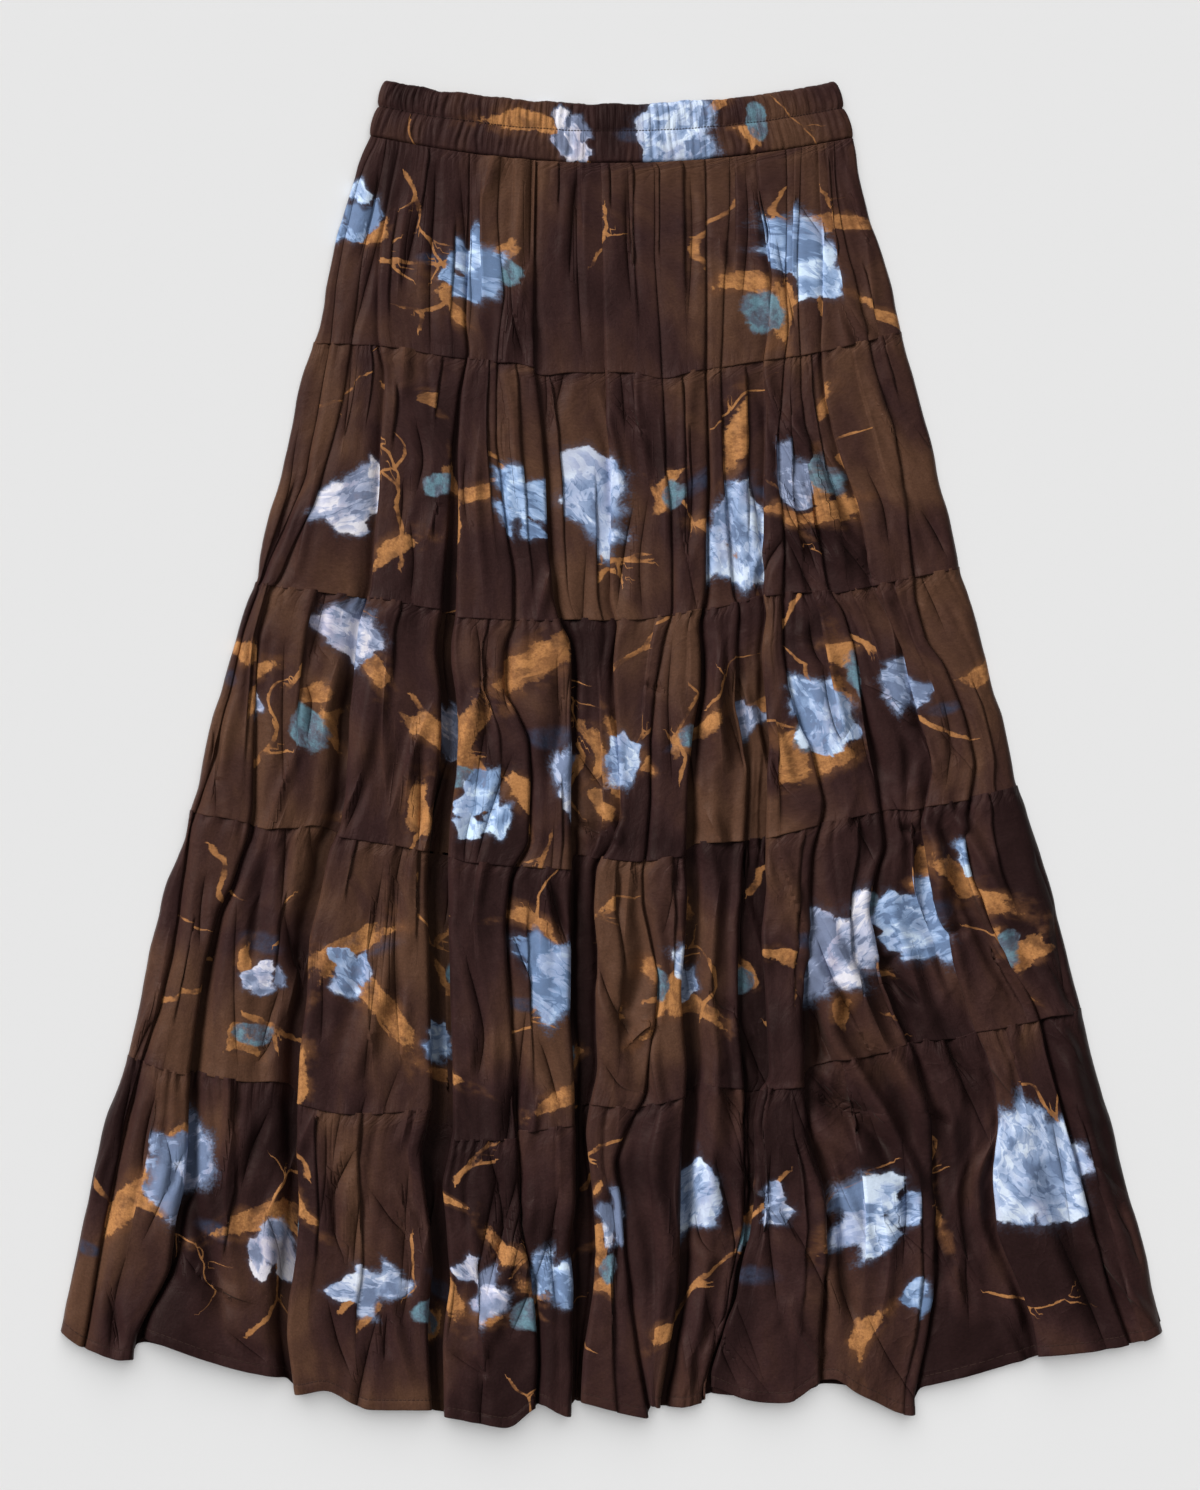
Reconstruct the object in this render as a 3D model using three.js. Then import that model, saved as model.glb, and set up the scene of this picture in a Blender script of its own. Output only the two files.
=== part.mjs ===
// Five-tier gathered midi skirt with an elasticated waistband, lying flat on a surface.
// Millimetres, +Z up. The skirt lies in the XY plane with its waist towards +Y, its width along X,
// the back panels on the surface and the front panels on the back ones.
// Every piece is a closed cloth wall swept through the cross-sections below.
import * as THREE from "three";

// ---- driving sizes, mm ----
const CLOTH = 1.2;       // wall of one layer of cloth
const CASING = 2.6;      // wall of the waistband: folded cloth with elastic inside
const SEAM_GAP = 0.3;    // between two pieces that are sewn end to end
const LAYER_GAP = 0.3;   // between the front panels and the back panels
const CHANNEL = 0.9;     // how far each elastic channel swells
const BAND_RIB = 0.35;   // height of the waistband's gathers
const BAND_RIBS = 12;    // gathers across the modelled waistband
const MITRE = 0.75;      // limits how far a sharp fold's corner is pushed out

// ---- cross-sections, waist to hem ----
// y: the section's height at its two ends; sag: how far its middle hangs lower; tilt: right end above left end;
// half: half its laid width; shift: its middle, off the centre line; fold: height of a full front fold;
// tuck: height of a full back fold; lift: how far the front layer is held up off the back one
const SECTIONS = [
  { name: "waist", y: 419, sag: 18, tilt: -1, half: 163.5, shift: 1, fold: 1.6, tuck: 1.5, lift: 2.8 },
  { name: "seam1", y: 282, sag: 23, tilt: 7, half: 200, shift: -2, fold: 3.6, tuck: 1.9, lift: 0.8 },
  { name: "seam2", y: 119.6, sag: 28, tilt: 13, half: 238, shift: -1.4, fold: 4.8, tuck: 2.2, lift: 0.3 },
  { name: "seam3", y: -32, sag: 41, tilt: 14, half: 280.5, shift: -5, fold: 5.4, tuck: 2.6, lift: 0.1 },
  { name: "seam4", y: -189.7, sag: 58, tilt: 31, half: 325.7, shift: -6, fold: 5.8, tuck: 2.9, lift: 0 },
  { name: "hem", y: -389, sag: 60, tilt: 6, half: 374, shift: 0, fold: 6.6, tuck: 3.1, lift: 0 },
];
const BAND_TOP = { y: 457, sag: 15.3, tilt: -1, half: 152.3, shift: 0 };

// ---- front folds, left to right ----
// edge: x of the valley at the fold's right-hand side, at each section; high: its share of the section's fold
// height; deep: how far that valley goes down, 1 being all the way; drop: how far the fold hangs off the sag line
const FOLDS = [
  { name: "left_side", edge: [-146, -184, -220, -250, -281, -304], high: [0.6, 0.6, 0.6, 0.8, 0.85, 0.8], deep: [0.6, 0.7, 0.8, 0.9, 1, 1], drop: [0, 0, 2, 0, 0, -4] },
  { name: "left_outer", edge: [-120, -151, -165, -183, -211, -213], high: [0.9, 0.8, 0.8, 0.9, 0.9, 0.85], deep: [0.6, 0.7, 0.8, 0.9, 1, 1], drop: [0, 0, 4, 5, 6, 7] },
  { name: "left_broad", edge: [-89, -96, -105, -107, -107, -111], high: [0.9, 0.9, 0.85, 0.95, 1, 0.95], deep: [0.7, 0.8, 0.9, 1, 1, 1], drop: [0, 0, 4, 4, 0, -1] },
  { name: "middle_left", edge: [-50, -50, -37, -26, -23, -24], high: [1, 1, 1, 1, 0.95, 1], deep: [0.8, 0.9, 0.9, 0.9, 0.9, 0.9], drop: [0, -3, -1, -3, -12, -6] },
  { name: "middle_slip", edge: [-10, -4, -4, 0, -9, -9], high: [0.7, 0.5, 0.6, 0.5, 0.35, 0.4], deep: [0.6, 0.6, 0.6, 0.6, 0.7, 0.8], drop: [0, -3, 0, 1, 0, 6] },
  { name: "middle_right", edge: [31, 35, 22, 26, 31, 34], high: [0.8, 0.8, 0.8, 0.9, 0.95, 0.95], deep: [0.6, 0.7, 0.7, 0.7, 0.75, 0.8], drop: [0, 0, 0, 2, 7, 4] },
  { name: "right_inner", edge: [61, 65, 64, 54, 54, 52], high: [0.9, 0.9, 0.9, 0.9, 0.9, 0.9], deep: [0.8, 0.9, 0.9, 1, 1, 1], drop: [0, 0, 1, 2, 6, 6] },
  { name: "right_hollow", edge: [92, 97, 106, 105, 107, 97], high: [0.7, 0.7, 0.7, 0.6, 0.6, 0.7], deep: [0.7, 0.7, 0.8, 0.9, 0.9, 0.9], drop: [0, 0, 5, 9, 5, 10] },
  { name: "right_broad", edge: [105, 117, 134, 146, 150, 148], high: [0.8, 0.8, 0.8, 0.8, 0.8, 0.8], deep: [0.6, 0.7, 0.8, 0.85, 0.9, 0.9], drop: [0, 1, 5, 12, 9, 3] },
  { name: "right_slant", edge: [120, 138, 160, 184, 198, 226], high: [0.9, 0.9, 0.9, 0.9, 0.95, 1], deep: [0.6, 0.7, 0.8, 0.85, 0.9, 0.95], drop: [0, 1, 4, 12, 15, -9] },
  { name: "right_outer", edge: [140, 169, 200, 232, 257, 290], high: [0.8, 0.8, 0.8, 0.85, 0.95, 1], deep: [0.6, 0.7, 0.8, 0.85, 0.95, 1], drop: [0, 0, 1, 7, 16, 1] },
  { name: "right_side", edge: null, high: [0.6, 0.6, 0.6, 0.7, 0.8, 0.85], deep: null, drop: [0, 0, 0, 3, 4, -3] },
];
// one front fold across its width: at is the place, rise the share of the fold's height
const FOLD_SHAPE = [{ at: 0, rise: 0 }, { at: 0.16, rise: 0.78 }, { at: 0.5, rise: 1 }, { at: 0.84, rise: 0.8 }];
// one back fold, a low broad fold that stands up from the surface and fills the front fold above it
const TUCK_SHAPE = [{ at: 0.07, rise: 0 }, { at: 0.22, rise: 0.9 }, { at: 0.74, rise: 1 }, { at: 0.92, rise: 0 }];
// along a tier: down is the share of its length, puff swells the folds just below the gathered seam
const FRONT_ROWS = [{ down: 0, puff: 1 }, { down: 0.14, puff: 1.16 }, { down: 0.5, puff: 1.02 }, { down: 0.84, puff: 0.96 }, { down: 1, puff: 1 }];
const BACK_ROWS = [{ down: 0, puff: 1 }, { down: 0.25, puff: 1.15 }, { down: 1, puff: 1 }];
// along the waistband: swell is the share of CHANNEL, two channels either side of the middle stitching
const BAND_ROWS = [{ down: 0, swell: 0 }, { down: 0.14, swell: 0.8 }, { down: 0.32, swell: 0.9 }, { down: 0.47, swell: 0 }, { down: 0.64, swell: 1 }, { down: 0.86, swell: 0.8 }, { down: 1, swell: 0 }];

const COLOURS = { waistband: 0x46302a, tier: [0x4b352e, 0x58402f, 0x4a3a3c, 0x5b4434, 0x544048] };

// ---- working ----
const lerp = (a, b, t) => a + (b - a) * t;
const smooth = (t) => t * t * (3 - 2 * t);
const REST = CLOTH / 2;                                            // mid-wall height of a back panel
const FRONT_REST = CLOTH + LAYER_GAP + CLOTH / 2 / MITRE;          // mid-wall height of a front valley

const between = (a, b, t) => {                                     // a cross-section between two others
  const s = {};
  for (const k of ["y", "sag", "tilt", "half", "shift", "fold", "tuck", "lift"]) s[k] = lerp(a[k] ?? 0, b[k] ?? 0, t);
  return s;
};
const lineY = (s, x) => {                                          // height of a section's line at x
  const r = Math.max(-1, Math.min(1, (x - s.shift) / s.half));
  return s.y + s.tilt * r / 2 - s.sag * (1 - r * r);
};

// valley positions, fold heights and valley floors of a section part way down a tier
function foldsAt(tier, down) {
  const s = between(SECTIONS[tier], SECTIONS[tier + 1], down);
  const at = (list) => lerp(list[tier], list[tier + 1], down);
  let left = s.shift - s.half, floor = 0;
  const folds = FOLDS.map((f) => {
    const high = at(f.high) * s.fold;
    const right = f.edge ? at(f.edge) : s.shift + s.half;
    const out = { left, right, high, drop: at(f.drop), floorLeft: floor, deep: f.deep ? at(f.deep) : 1 };
    left = right;
    return out;
  });
  folds.forEach((f, i) => {
    const next = folds[i + 1];
    f.floorRight = next ? (1 - f.deep) * Math.min(f.high, next.high) : 0;
    if (next) next.floorLeft = f.floorRight;
  });
  return { s, folds };
}

// a front section: points across the folds, as x, y and mid-wall height z
function frontSection(tier, down, puff) {
  const { s, folds } = foldsAt(tier, down);
  const points = [];
  folds.forEach((f, i) => {
    for (const p of FOLD_SHAPE) {
      const x = lerp(f.left, f.right, p.at);
      const floor = lerp(f.floorLeft, f.floorRight, p.at);
      const before = i > 0 ? folds[i - 1].drop : f.drop;
      const drop = p.at === 0 ? (before + f.drop) / 2 : f.drop;
      points.push({ x, y: lineY(s, x) + drop, z: FRONT_REST + s.lift + floor + (f.high * puff - floor) * p.rise });
    }
  });
  const last = folds[folds.length - 1];
  points.push({ x: last.right, y: lineY(s, last.right) + last.drop, z: FRONT_REST + s.lift });
  return points;
}

// a back section: flat on the surface between folds, with a low fold standing up under each front fold
function backSection(tier, down, puff) {
  const { s, folds } = foldsAt(tier, down);
  const x0 = s.shift - s.half, x1 = s.shift + s.half;
  const points = [{ x: x0, y: lineY(s, x0) + folds[0].drop, z: REST }];
  for (const f of folds) {
    for (const p of TUCK_SHAPE) {
      const x = lerp(f.left, f.right, p.at);
      const height = s.tuck * puff * Math.min(1, (f.right - f.left) / 30) * p.rise;
      points.push({ x, y: lineY(s, x) + f.drop * 0.5, z: REST + Math.min(height, 0.6 * f.high * p.rise) });
    }
  }
  points.push({ x: x1, y: lineY(s, x1) + folds[folds.length - 1].drop, z: REST });
  return points;
}

// push each section point out along the section's own normal, half a wall each way
function wallOf(points, wall) {
  return points.map((p, i) => {
    const a = points[Math.max(0, i - 1)], b = points[Math.min(points.length - 1, i + 1)];
    const t1 = new THREE.Vector2(p.x - a.x, p.z - a.z), t2 = new THREE.Vector2(b.x - p.x, b.z - p.z);
    if (i > 0) t1.normalize(); if (i < points.length - 1) t2.normalize();
    const t = t1.clone().add(t2).normalize();
    const n = new THREE.Vector2(-t.y, t.x);
    const along = i > 0 ? t1 : t2;
    const turn = Math.max(MITRE, Math.abs(n.x * -along.y + n.y * along.x));
    const h = wall / 2 / turn;
    return { top: [p.x + n.x * h, p.y, p.z + n.y * h], under: [p.x - n.x * h, p.y, p.z - n.y * h] };
  });
}

// a closed wall through rows of top and under points
function sheet(name, rows, colour) {
  const nr = rows.length, nc = rows[0].length, position = [], index = [];
  for (const side of ["top", "under"]) for (const row of rows) for (const p of row) position.push(...p[side]);
  const T = (r, c) => r * nc + c, U = (r, c) => nr * nc + r * nc + c;
  const quad = (a, b, c, d) => index.push(a, b, c, a, c, d);
  for (let r = 0; r < nr - 1; r++) for (let c = 0; c < nc - 1; c++) {
    quad(T(r, c), T(r + 1, c), T(r + 1, c + 1), T(r, c + 1));
    quad(U(r, c), U(r, c + 1), U(r + 1, c + 1), U(r + 1, c));
  }
  for (let c = 0; c < nc - 1; c++) {
    quad(T(0, c), T(0, c + 1), U(0, c + 1), U(0, c));
    quad(T(nr - 1, c + 1), T(nr - 1, c), U(nr - 1, c), U(nr - 1, c + 1));
  }
  for (let r = 0; r < nr - 1; r++) {
    quad(T(r + 1, 0), T(r, 0), U(r, 0), U(r + 1, 0));
    quad(T(r, nc - 1), T(r + 1, nc - 1), U(r + 1, nc - 1), U(r, nc - 1));
  }
  const geometry = new THREE.BufferGeometry();
  geometry.setAttribute("position", new THREE.Float32BufferAttribute(position, 3));
  geometry.setIndex(index);
  geometry.computeVertexNormals();
  const mesh = new THREE.Mesh(geometry, new THREE.MeshStandardMaterial({ color: colour, roughness: 0.55, metalness: 0, side: THREE.DoubleSide }));
  mesh.name = name;
  return mesh;
}

function tier(number, front) {
  const at = number - 1, rows = front ? FRONT_ROWS : BACK_ROWS, section = front ? frontSection : backSection;
  const walls = rows.map((row, i) => {
    const pts = section(at, row.down, row.puff);
    const trim = i === 0 ? -SEAM_GAP / 2 : i === rows.length - 1 && number < 5 ? SEAM_GAP / 2 : 0;
    return wallOf(pts.map((p) => ({ ...p, y: p.y + trim })), CLOTH);
  });
  return sheet(`tier${number}_${front ? "front" : "back"}`, walls, COLOURS.tier[at]);
}

// half of the waistband: a flat-bottomed wall whose top swells in two channels, lightly ribbed by its gathers
function waistband(front) {
  const under = front ? CASING + CHANNEL + BAND_RIB + LAYER_GAP : 0;
  const columns = BAND_RIBS * 2;
  const walls = BAND_ROWS.map((row, i) => {
    const s = between(BAND_TOP, SECTIONS[0], row.down), wall = [];
    const half = s.half + row.swell * 1.6;
    for (let c = 0; c <= columns; c++) {
      const x = lerp(s.shift - half, s.shift + half, c / columns);
      const y = lineY(s, x) + (i === BAND_ROWS.length - 1 ? SEAM_GAP / 2 : 0);
      const rib = (c % 2 ? BAND_RIB : 0) * (0.4 + 0.6 * row.swell);
      wall.push({ top: [x, y, under + CASING + CHANNEL * row.swell + rib], under: [x, y, under] });
    }
    return wall;
  });
  return sheet(`waistband_${front ? "front" : "back"}`, walls, COLOURS.waistband);
}

const skirt = new THREE.Group();
for (const front of [false, true]) {
  skirt.add(waistband(front));
  for (let n = 1; n <= 5; n++) skirt.add(tier(n, front));
}

// the origin is the middle of the skirt's outline, on the surface it lies on
const box = new THREE.Box3().setFromObject(skirt, true);
skirt.position.set(-(box.min.x + box.max.x) / 2, -(box.min.y + box.max.y) / 2, -box.min.z);
skirt.updateMatrixWorld(true);

export default skirt;
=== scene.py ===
"""Look of the five-tier gathered skirt, laid flat and seen from straight above. Metres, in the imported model's frame.

Every piece of cloth is a thin closed shell swept through the skirt's cross-sections. The outline, the seams, the folds
and the creases are the tables below, in millimetres; the printed flowers are laid out on the flat cloth of each tier."""
import math

import bpy
import numpy as np
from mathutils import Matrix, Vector


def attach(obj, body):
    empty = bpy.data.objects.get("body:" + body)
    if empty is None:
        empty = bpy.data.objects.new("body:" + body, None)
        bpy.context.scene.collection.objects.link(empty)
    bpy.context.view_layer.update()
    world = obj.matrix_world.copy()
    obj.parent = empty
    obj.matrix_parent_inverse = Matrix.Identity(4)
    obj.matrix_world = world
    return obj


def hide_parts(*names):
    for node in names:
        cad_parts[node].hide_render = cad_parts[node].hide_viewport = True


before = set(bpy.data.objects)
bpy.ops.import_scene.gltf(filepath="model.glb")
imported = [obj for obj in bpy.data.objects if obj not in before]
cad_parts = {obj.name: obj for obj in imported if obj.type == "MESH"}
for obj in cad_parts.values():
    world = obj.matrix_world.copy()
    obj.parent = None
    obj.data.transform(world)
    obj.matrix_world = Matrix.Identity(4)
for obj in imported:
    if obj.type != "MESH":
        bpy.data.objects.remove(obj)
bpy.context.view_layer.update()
MM = 0.001
OFF = np.array([0.0106, -1.4063, 0.0])  # the part's own origin shift, mm

# ------------------------------------------------------------------ sizes, mm
CLOTH = 0.5  # thickness of one layer of satin as shown
TOP_LIMIT = 19.3  # the highest fold
# cross-sections, waist to hem (as the part's). fold: full height of a front fold; lift: how far the front is carried
# above the back under it
SECTIONS = {
    "y": [419, 282, 119.6, -32, -189.7, -389],
    "sag": [18, 23, 28, 41, 58, 60],
    "tilt": [-1, 7, 13, 14, 31, 6],
    "half": [163.5, 200, 238, 280.5, 325.7, 374],
    "shift": [1, -2, -1.4, -5, -6, 0],
    "fold": [2.4, 6.2, 10.2, 12.6, 13.4, 13.6],
    "lift": [4.2, 2.0, 1.0, 0.6, 0.5, 0.4],
}
BAND_TOP = {"y": 457, "sag": 15.3, "tilt": -1, "half": 152.3, "shift": 0}
TIER_NAMES = ["tier1", "tier2", "tier3", "tier4", "tier5"]
# height of each of the sixteen folds, left to right, as a share of the section's, at the waist, the four seams, the hem
LOBES = [
    [0.4, 0.4, 0.4, 0.45, 0.5, 0.6], [0.7, 0.7, 0.75, 0.8, 0.9, 0.9], [0.85, 0.85, 0.85, 0.8, 0.85, 0.85], [0.9, 0.9, 0.95, 1, 1, 1],
    [0.9, 0.95, 1, 1, 1, 1], [0.9, 0.95, 0.95, 0.95, 0.95, 0.95], [0.6, 0.55, 0.5, 0.35, 0.15, 0.15], [0.8, 0.8, 0.8, 0.85, 0.95, 0.95],
    [0.85, 0.85, 0.9, 0.9, 0.9, 0.9], [0.75, 0.75, 0.7, 0.6, 0.6, 0.6], [0.6, 0.6, 0.5, 0.15, 0.1, 0.45], [0.8, 0.8, 0.85, 0.95, 1, 0.85],
    [0.8, 0.8, 0.8, 0.85, 0.75, 0.7], [0.8, 0.8, 0.75, 0.65, 0.4, 0.55], [0.75, 0.7, 0.7, 0.75, 0.8, 0.8], [0.5, 0.5, 0.5, 0.6, 0.65, 0.7],
]
# the fifteen valleys between them, at the same levels. deep: share of the fold's height; over: how far the left-hand fold
# laps over it (negative: the right-hand one laps to the left); gap: width of its floor; hidden: cloth folded away in it;
# soft: radius of the fold's side that does not lap
FOLD_LINES = {
    "side_left": ([0.2, 0.3, 0.3, 0.4, 0.5, 0.6], [1, 1, 1.5, 2, 2, 2], [0.5, 0.5, 0.5, 0.5, 0.5, 0.5], 14, 12),
    "outer_left": ([0.2, 0.3, 0.4, 0.6, 0.85, 1], [0.3, 0.8, 1.2, 1.8, 3, 3], [0.3, 0.5, 0.8, 1.5, 5, 5], 22, 12),
    "broad_left": ([0.4, 0.5, 0.7, 0.95, 0.95, 1], [-0.8, -1.2, -2, -3, -3, -2], [0.3, 0.8, 2, 6, 6, 6], 30, 12),
    "deep_left": ([0.4, 0.6, 0.95, 1, 1, 1], [-1.2, -1.4, -2.2, -2.8, -2.8, -2.4], [0.5, 1.5, 9, 13, 14, 8], 34, 6),
    "tuck_left": ([0.3, 0.4, 0.4, 0.4, 0.45, 0.7], [0.8, 1.2, 1.5, 1.5, 1.2, 2], [0.3, 0.5, 0.5, 0.5, 0.5, 1.5], 16, 14),
    "middle": ([0.6, 0.7, 0.9, 1, 1, 1], [2.5, 3.5, 4, 4.2, 4.2, 3.8], [0.6, 1, 1.5, 2, 2, 2], 36, 12),
    "slip": ([0.4, 0.5, 0.6, 0.6, 0.95, 0.95], [-1.2, -1.5, -1.6, -1.6, -3, -3], [0.3, 0.6, 0.6, 0.8, 2, 2], 20, 12),
    "fine_middle": ([0.35, 0.4, 0.4, 0.35, 0.4, 0.5], [0.9, 1.2, 1.2, 1.1, 1.5, 1.5], [0.4, 0.4, 0.4, 0.4, 0.4, 0.4], 12, 12),
    "deep_right": ([0.6, 0.65, 0.8, 0.95, 1, 1], [2, 2.5, 3, 3.6, 3.6, 3.2], [0.6, 1, 1.5, 6, 8, 4], 34, 8),
    "fine_right": ([0.3, 0.35, 0.4, 0.5, 0.5, 0.6], [0.7, 0.8, 1, 1.2, 1.2, 1.2], [0.5, 0.5, 0.5, 0.5, 0.5, 0.5], 12, 12),
    "recess_right": ([0.4, 0.5, 0.6, 0.95, 1, 1], [-0.8, -1.2, -1.8, -3, -3.6, -2.2], [0.4, 0.6, 1, 4, 5, 4], 28, 11),
    "broad_right": ([0.3, 0.35, 0.4, 0.4, 0.45, 0.6], [0.7, 0.9, 1.2, 1.4, 1.6, 1.8], [0.3, 0.3, 0.4, 0.4, 0.6, 1], 18, 12),
    "slant_right": ([0.3, 0.35, 0.4, 0.45, 0.5, 0.6], [0.8, 1.2, 1.6, 2, 2, 2], [0.3, 0.4, 0.5, 0.6, 0.8, 1.2], 20, 12),
    "outer_right": ([0.35, 0.4, 0.5, 0.5, 0.55, 0.7], [-0.8, -1, -1.4, -2, -2.6, -2.6], [0.3, 0.4, 0.5, 0.6, 1, 1.5], 20, 12),
    "side_right": ([0.3, 0.35, 0.4, 0.45, 0.45, 0.5], [1.5, 1.5, 1.5, 1.5, 2, 1.5], [0.4, 0.4, 0.4, 0.4, 0.4, 0.4], 12, 12),
}
# how far the seams and the hem hang off their plain curves: per level, per fold, at five places across it
DROPS = [
    [(0, 0, 0, 0, 0)] * 16,
    [(0.4, 0.7, 1.3, 1.9, 2.5), (2.5, 3.1, 3.6, 4.1, 4.6), (4.6, 5.2, 5.8, 6.4, 6.9), (6.9, 7.3, 6.2, 5.7, 5.3), (5.3, 5.1, 5, 4.8, 4.6), (4.6, 6.4, 5.3, 4, 2.7), (-2.1, -0.7, 0.1, 0.1, -0.1), (-0.1, -0.4, -0.8, -3.2, -5.7), (-5.8, -4.7, -3.7, -2.8, -1.9), (-1.9, -1.8, -1.6, -1.5, -1.3), (-1.3, -1, -0.7, -0.5, -0.5), (-0.5, -0.5, -0.6, -0.7, -0.7), (-0.7, -0.8, -0.9, -1, -1.1), (-1.1, -1.1, -1, -0.9, -0.8), (-0.8, -0.7, -0.5, -0.2, 0.1), (0.1, 0.2, 0.3, 0.4, 0.4)],
    [(2.3, 2.3, 2.3, 2.4, 2.4), (2.4, 2.6, 2.8, 3, 3.1), (3.1, 4.2, 4.8, 5.1, 5.1), (5.8, 5.9, 4.9, 3.7, 3.4), (-1.3, -1, -0.9, -0.9, -1), (-1, -1, -1, -1, -1.1), (0.3, 0.1, -0.1, -0.4, -0.8), (-0.8, -1.2, -1.3, -0.4, 0.4), (0.4, 0.8, 1.2, 1.5, 2.1), (2.1, 2.6, 3.2, 3.7, 4.3), (4.3, 4.9, 5.6, 6.2, 6.8), (6.8, 6.9, 6.8, 6.7, 6.6), (6.6, 5.8, 4.9, 4, 3.3), (1.1, 1.3, 1.4, 1.5, 1.5), (1.5, 1.5, 1.5, 1.4, 1.2), (1.2, 1, 0.7, 0.4, 0)],
    [(0.1, 0.2, 0.4, 0.5, 0.7), (0.7, 2.2, 2.6, 2.5, 2.4), (1, 2.9, 4.9, 7.4, 9.9), (5, 5.1, 4.9, 4.3, 2.9), (0.3, -2.1, -2.3, -2.6, -3.1), (-3.1, -3.6, -3.8, -4.2, -4.6), (5, 4.5, 3.9, 3.2, 2.5), (2.5, 1.5, 0.5, -0.7, -0.5), (-0.5, -0.1, 0.4, 0.7, 1), (8.8, 8.6, 8.2, 7.7, 7.2), (7.2, 7, 6.8, 6.7, 6.5), (7, 7.9, 8.7, 9.5, 10.2), (10.2, 10.7, 11, 11.2, 11), (11, 10, 8.9, 7.7, 6.8), (6.8, 6.2, 5.5, 4.8, 4.1), (4.1, 3.4, 3.1, 2.8, 2.5)],
    [(0.7, 0.7, 0.7, 0.7, 0.7), (0.7, 0.6, 0.4, 0.1, 1), (4.1, 4.7, 5.6, 8.1, 10.2), (-1.9, -4, -2.8, 2, 4.4), (-14.6, -13.8, -13.2, -12.8, -12.5), (-6.6, -5.7, -4.6, -3.7, -2.9), (9.4, 9.5, 9.8, 10, 10.2), (10.9, 10, 8.7, 7.3, 5.9), (7.8, 7.8, 8.9, 10.1, 11.1), (17.6, 16.3, 14.7, 12.9, 11.5), (8.6, 8.5, 8.4, 8.2, 8.1), (8.4, 8.3, 7.6, 6.9, 6.1), (18.7, 21.9, 16, 16.7, 17.7), (17, 15.5, 13.9, 12.1, 10.9), (12.2, 10.2, 8.6, 7.1, 5.4), (5.4, 4.3, 3.1, 1.8, 0.5)],
    [(0.2, -1.1, -2.4, -3.8, -4.4), (-4.4, -5.5, -5.8, -5.5, -3), (13.1, 11.8, 8.5, 7, 7.4), (-1.6, 6.5, -4.8, -2, 0.2), (-3.3, -4.9, -6.6, -8.7, 6), (8.7, 6.9, 4.7, 2.7, 1.1), (12.7, 12.7, 12.3, 11.7, 11.4), (10.7, 7.8, 4.7, 2, -0.6), (8.2, 7.9, 7.4, 7, 6.5), (5.9, 5.2, 5.3, 6.4, 7.3), (9.2, 10.8, 12.4, 14, 15.6), (18.3, 9.4, 4.6, 2.3, 13.2), (15.1, 6.9, -0.4, -13.2, -18.1), (-0.4, 0.1, 0.5, 1.2, 2.4), (2.8, 0.3, -2.5, -5.2, -6.5), (-6.5, -7, -7.6, -7.5, -6.5)],
]
# the outline: level down the skirt (0 waist, 1 to 4 the seams, 5 hem) and x
SIDE_LINES = {
    "left": [(0, -161.8), (0.148, -171.4), (0.336, -178.8), (0.465, -183.9), (0.666, -189), (0.93, -197.2), (1.013, -202), (1.119, -207.4), (1.236, -212.2), (1.437, -217.6), (1.64, -227.1), (1.802, -233.9), (1.983, -239.4), (2.055, -244.8), (2.232, -253), (2.415, -261.8), (2.662, -271.3), (2.902, -278.8), (3.009, -285.6), (3.115, -288.3), (3.289, -299.2), (3.579, -312.8), (3.774, -318.2), (3.891, -323), (3.996, -327.8), (4.104, -333.2), (4.202, -340), (4.422, -350.2), (4.6, -356.3), (4.706, -360.4), (4.868, -367.2), (4.999, -373.3)],
    "right": [(0, 163.9), (0.262, 171.4), (0.446, 176.8), (0.605, 183.6), (0.834, 192.4), (1.001, 197.9), (1.093, 201.3), (1.247, 207.4), (1.417, 214.9), (1.583, 221), (1.791, 229.2), (1.995, 236), (2.095, 242.1), (2.229, 247.5), (2.41, 255), (2.545, 259.8), (2.681, 265.2), (2.837, 270), (2.975, 274), (3.091, 281.5), (3.212, 287), (3.335, 292.4), (3.479, 297.8), (3.756, 309.4), (3.9, 314.8), (3.997, 319.6), (4.105, 324.4), (4.242, 331.8), (4.405, 341.4), (4.56, 350.2), (4.669, 357), (4.777, 363.8), (4.868, 367.2), (5, 375.4)],
}
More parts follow.
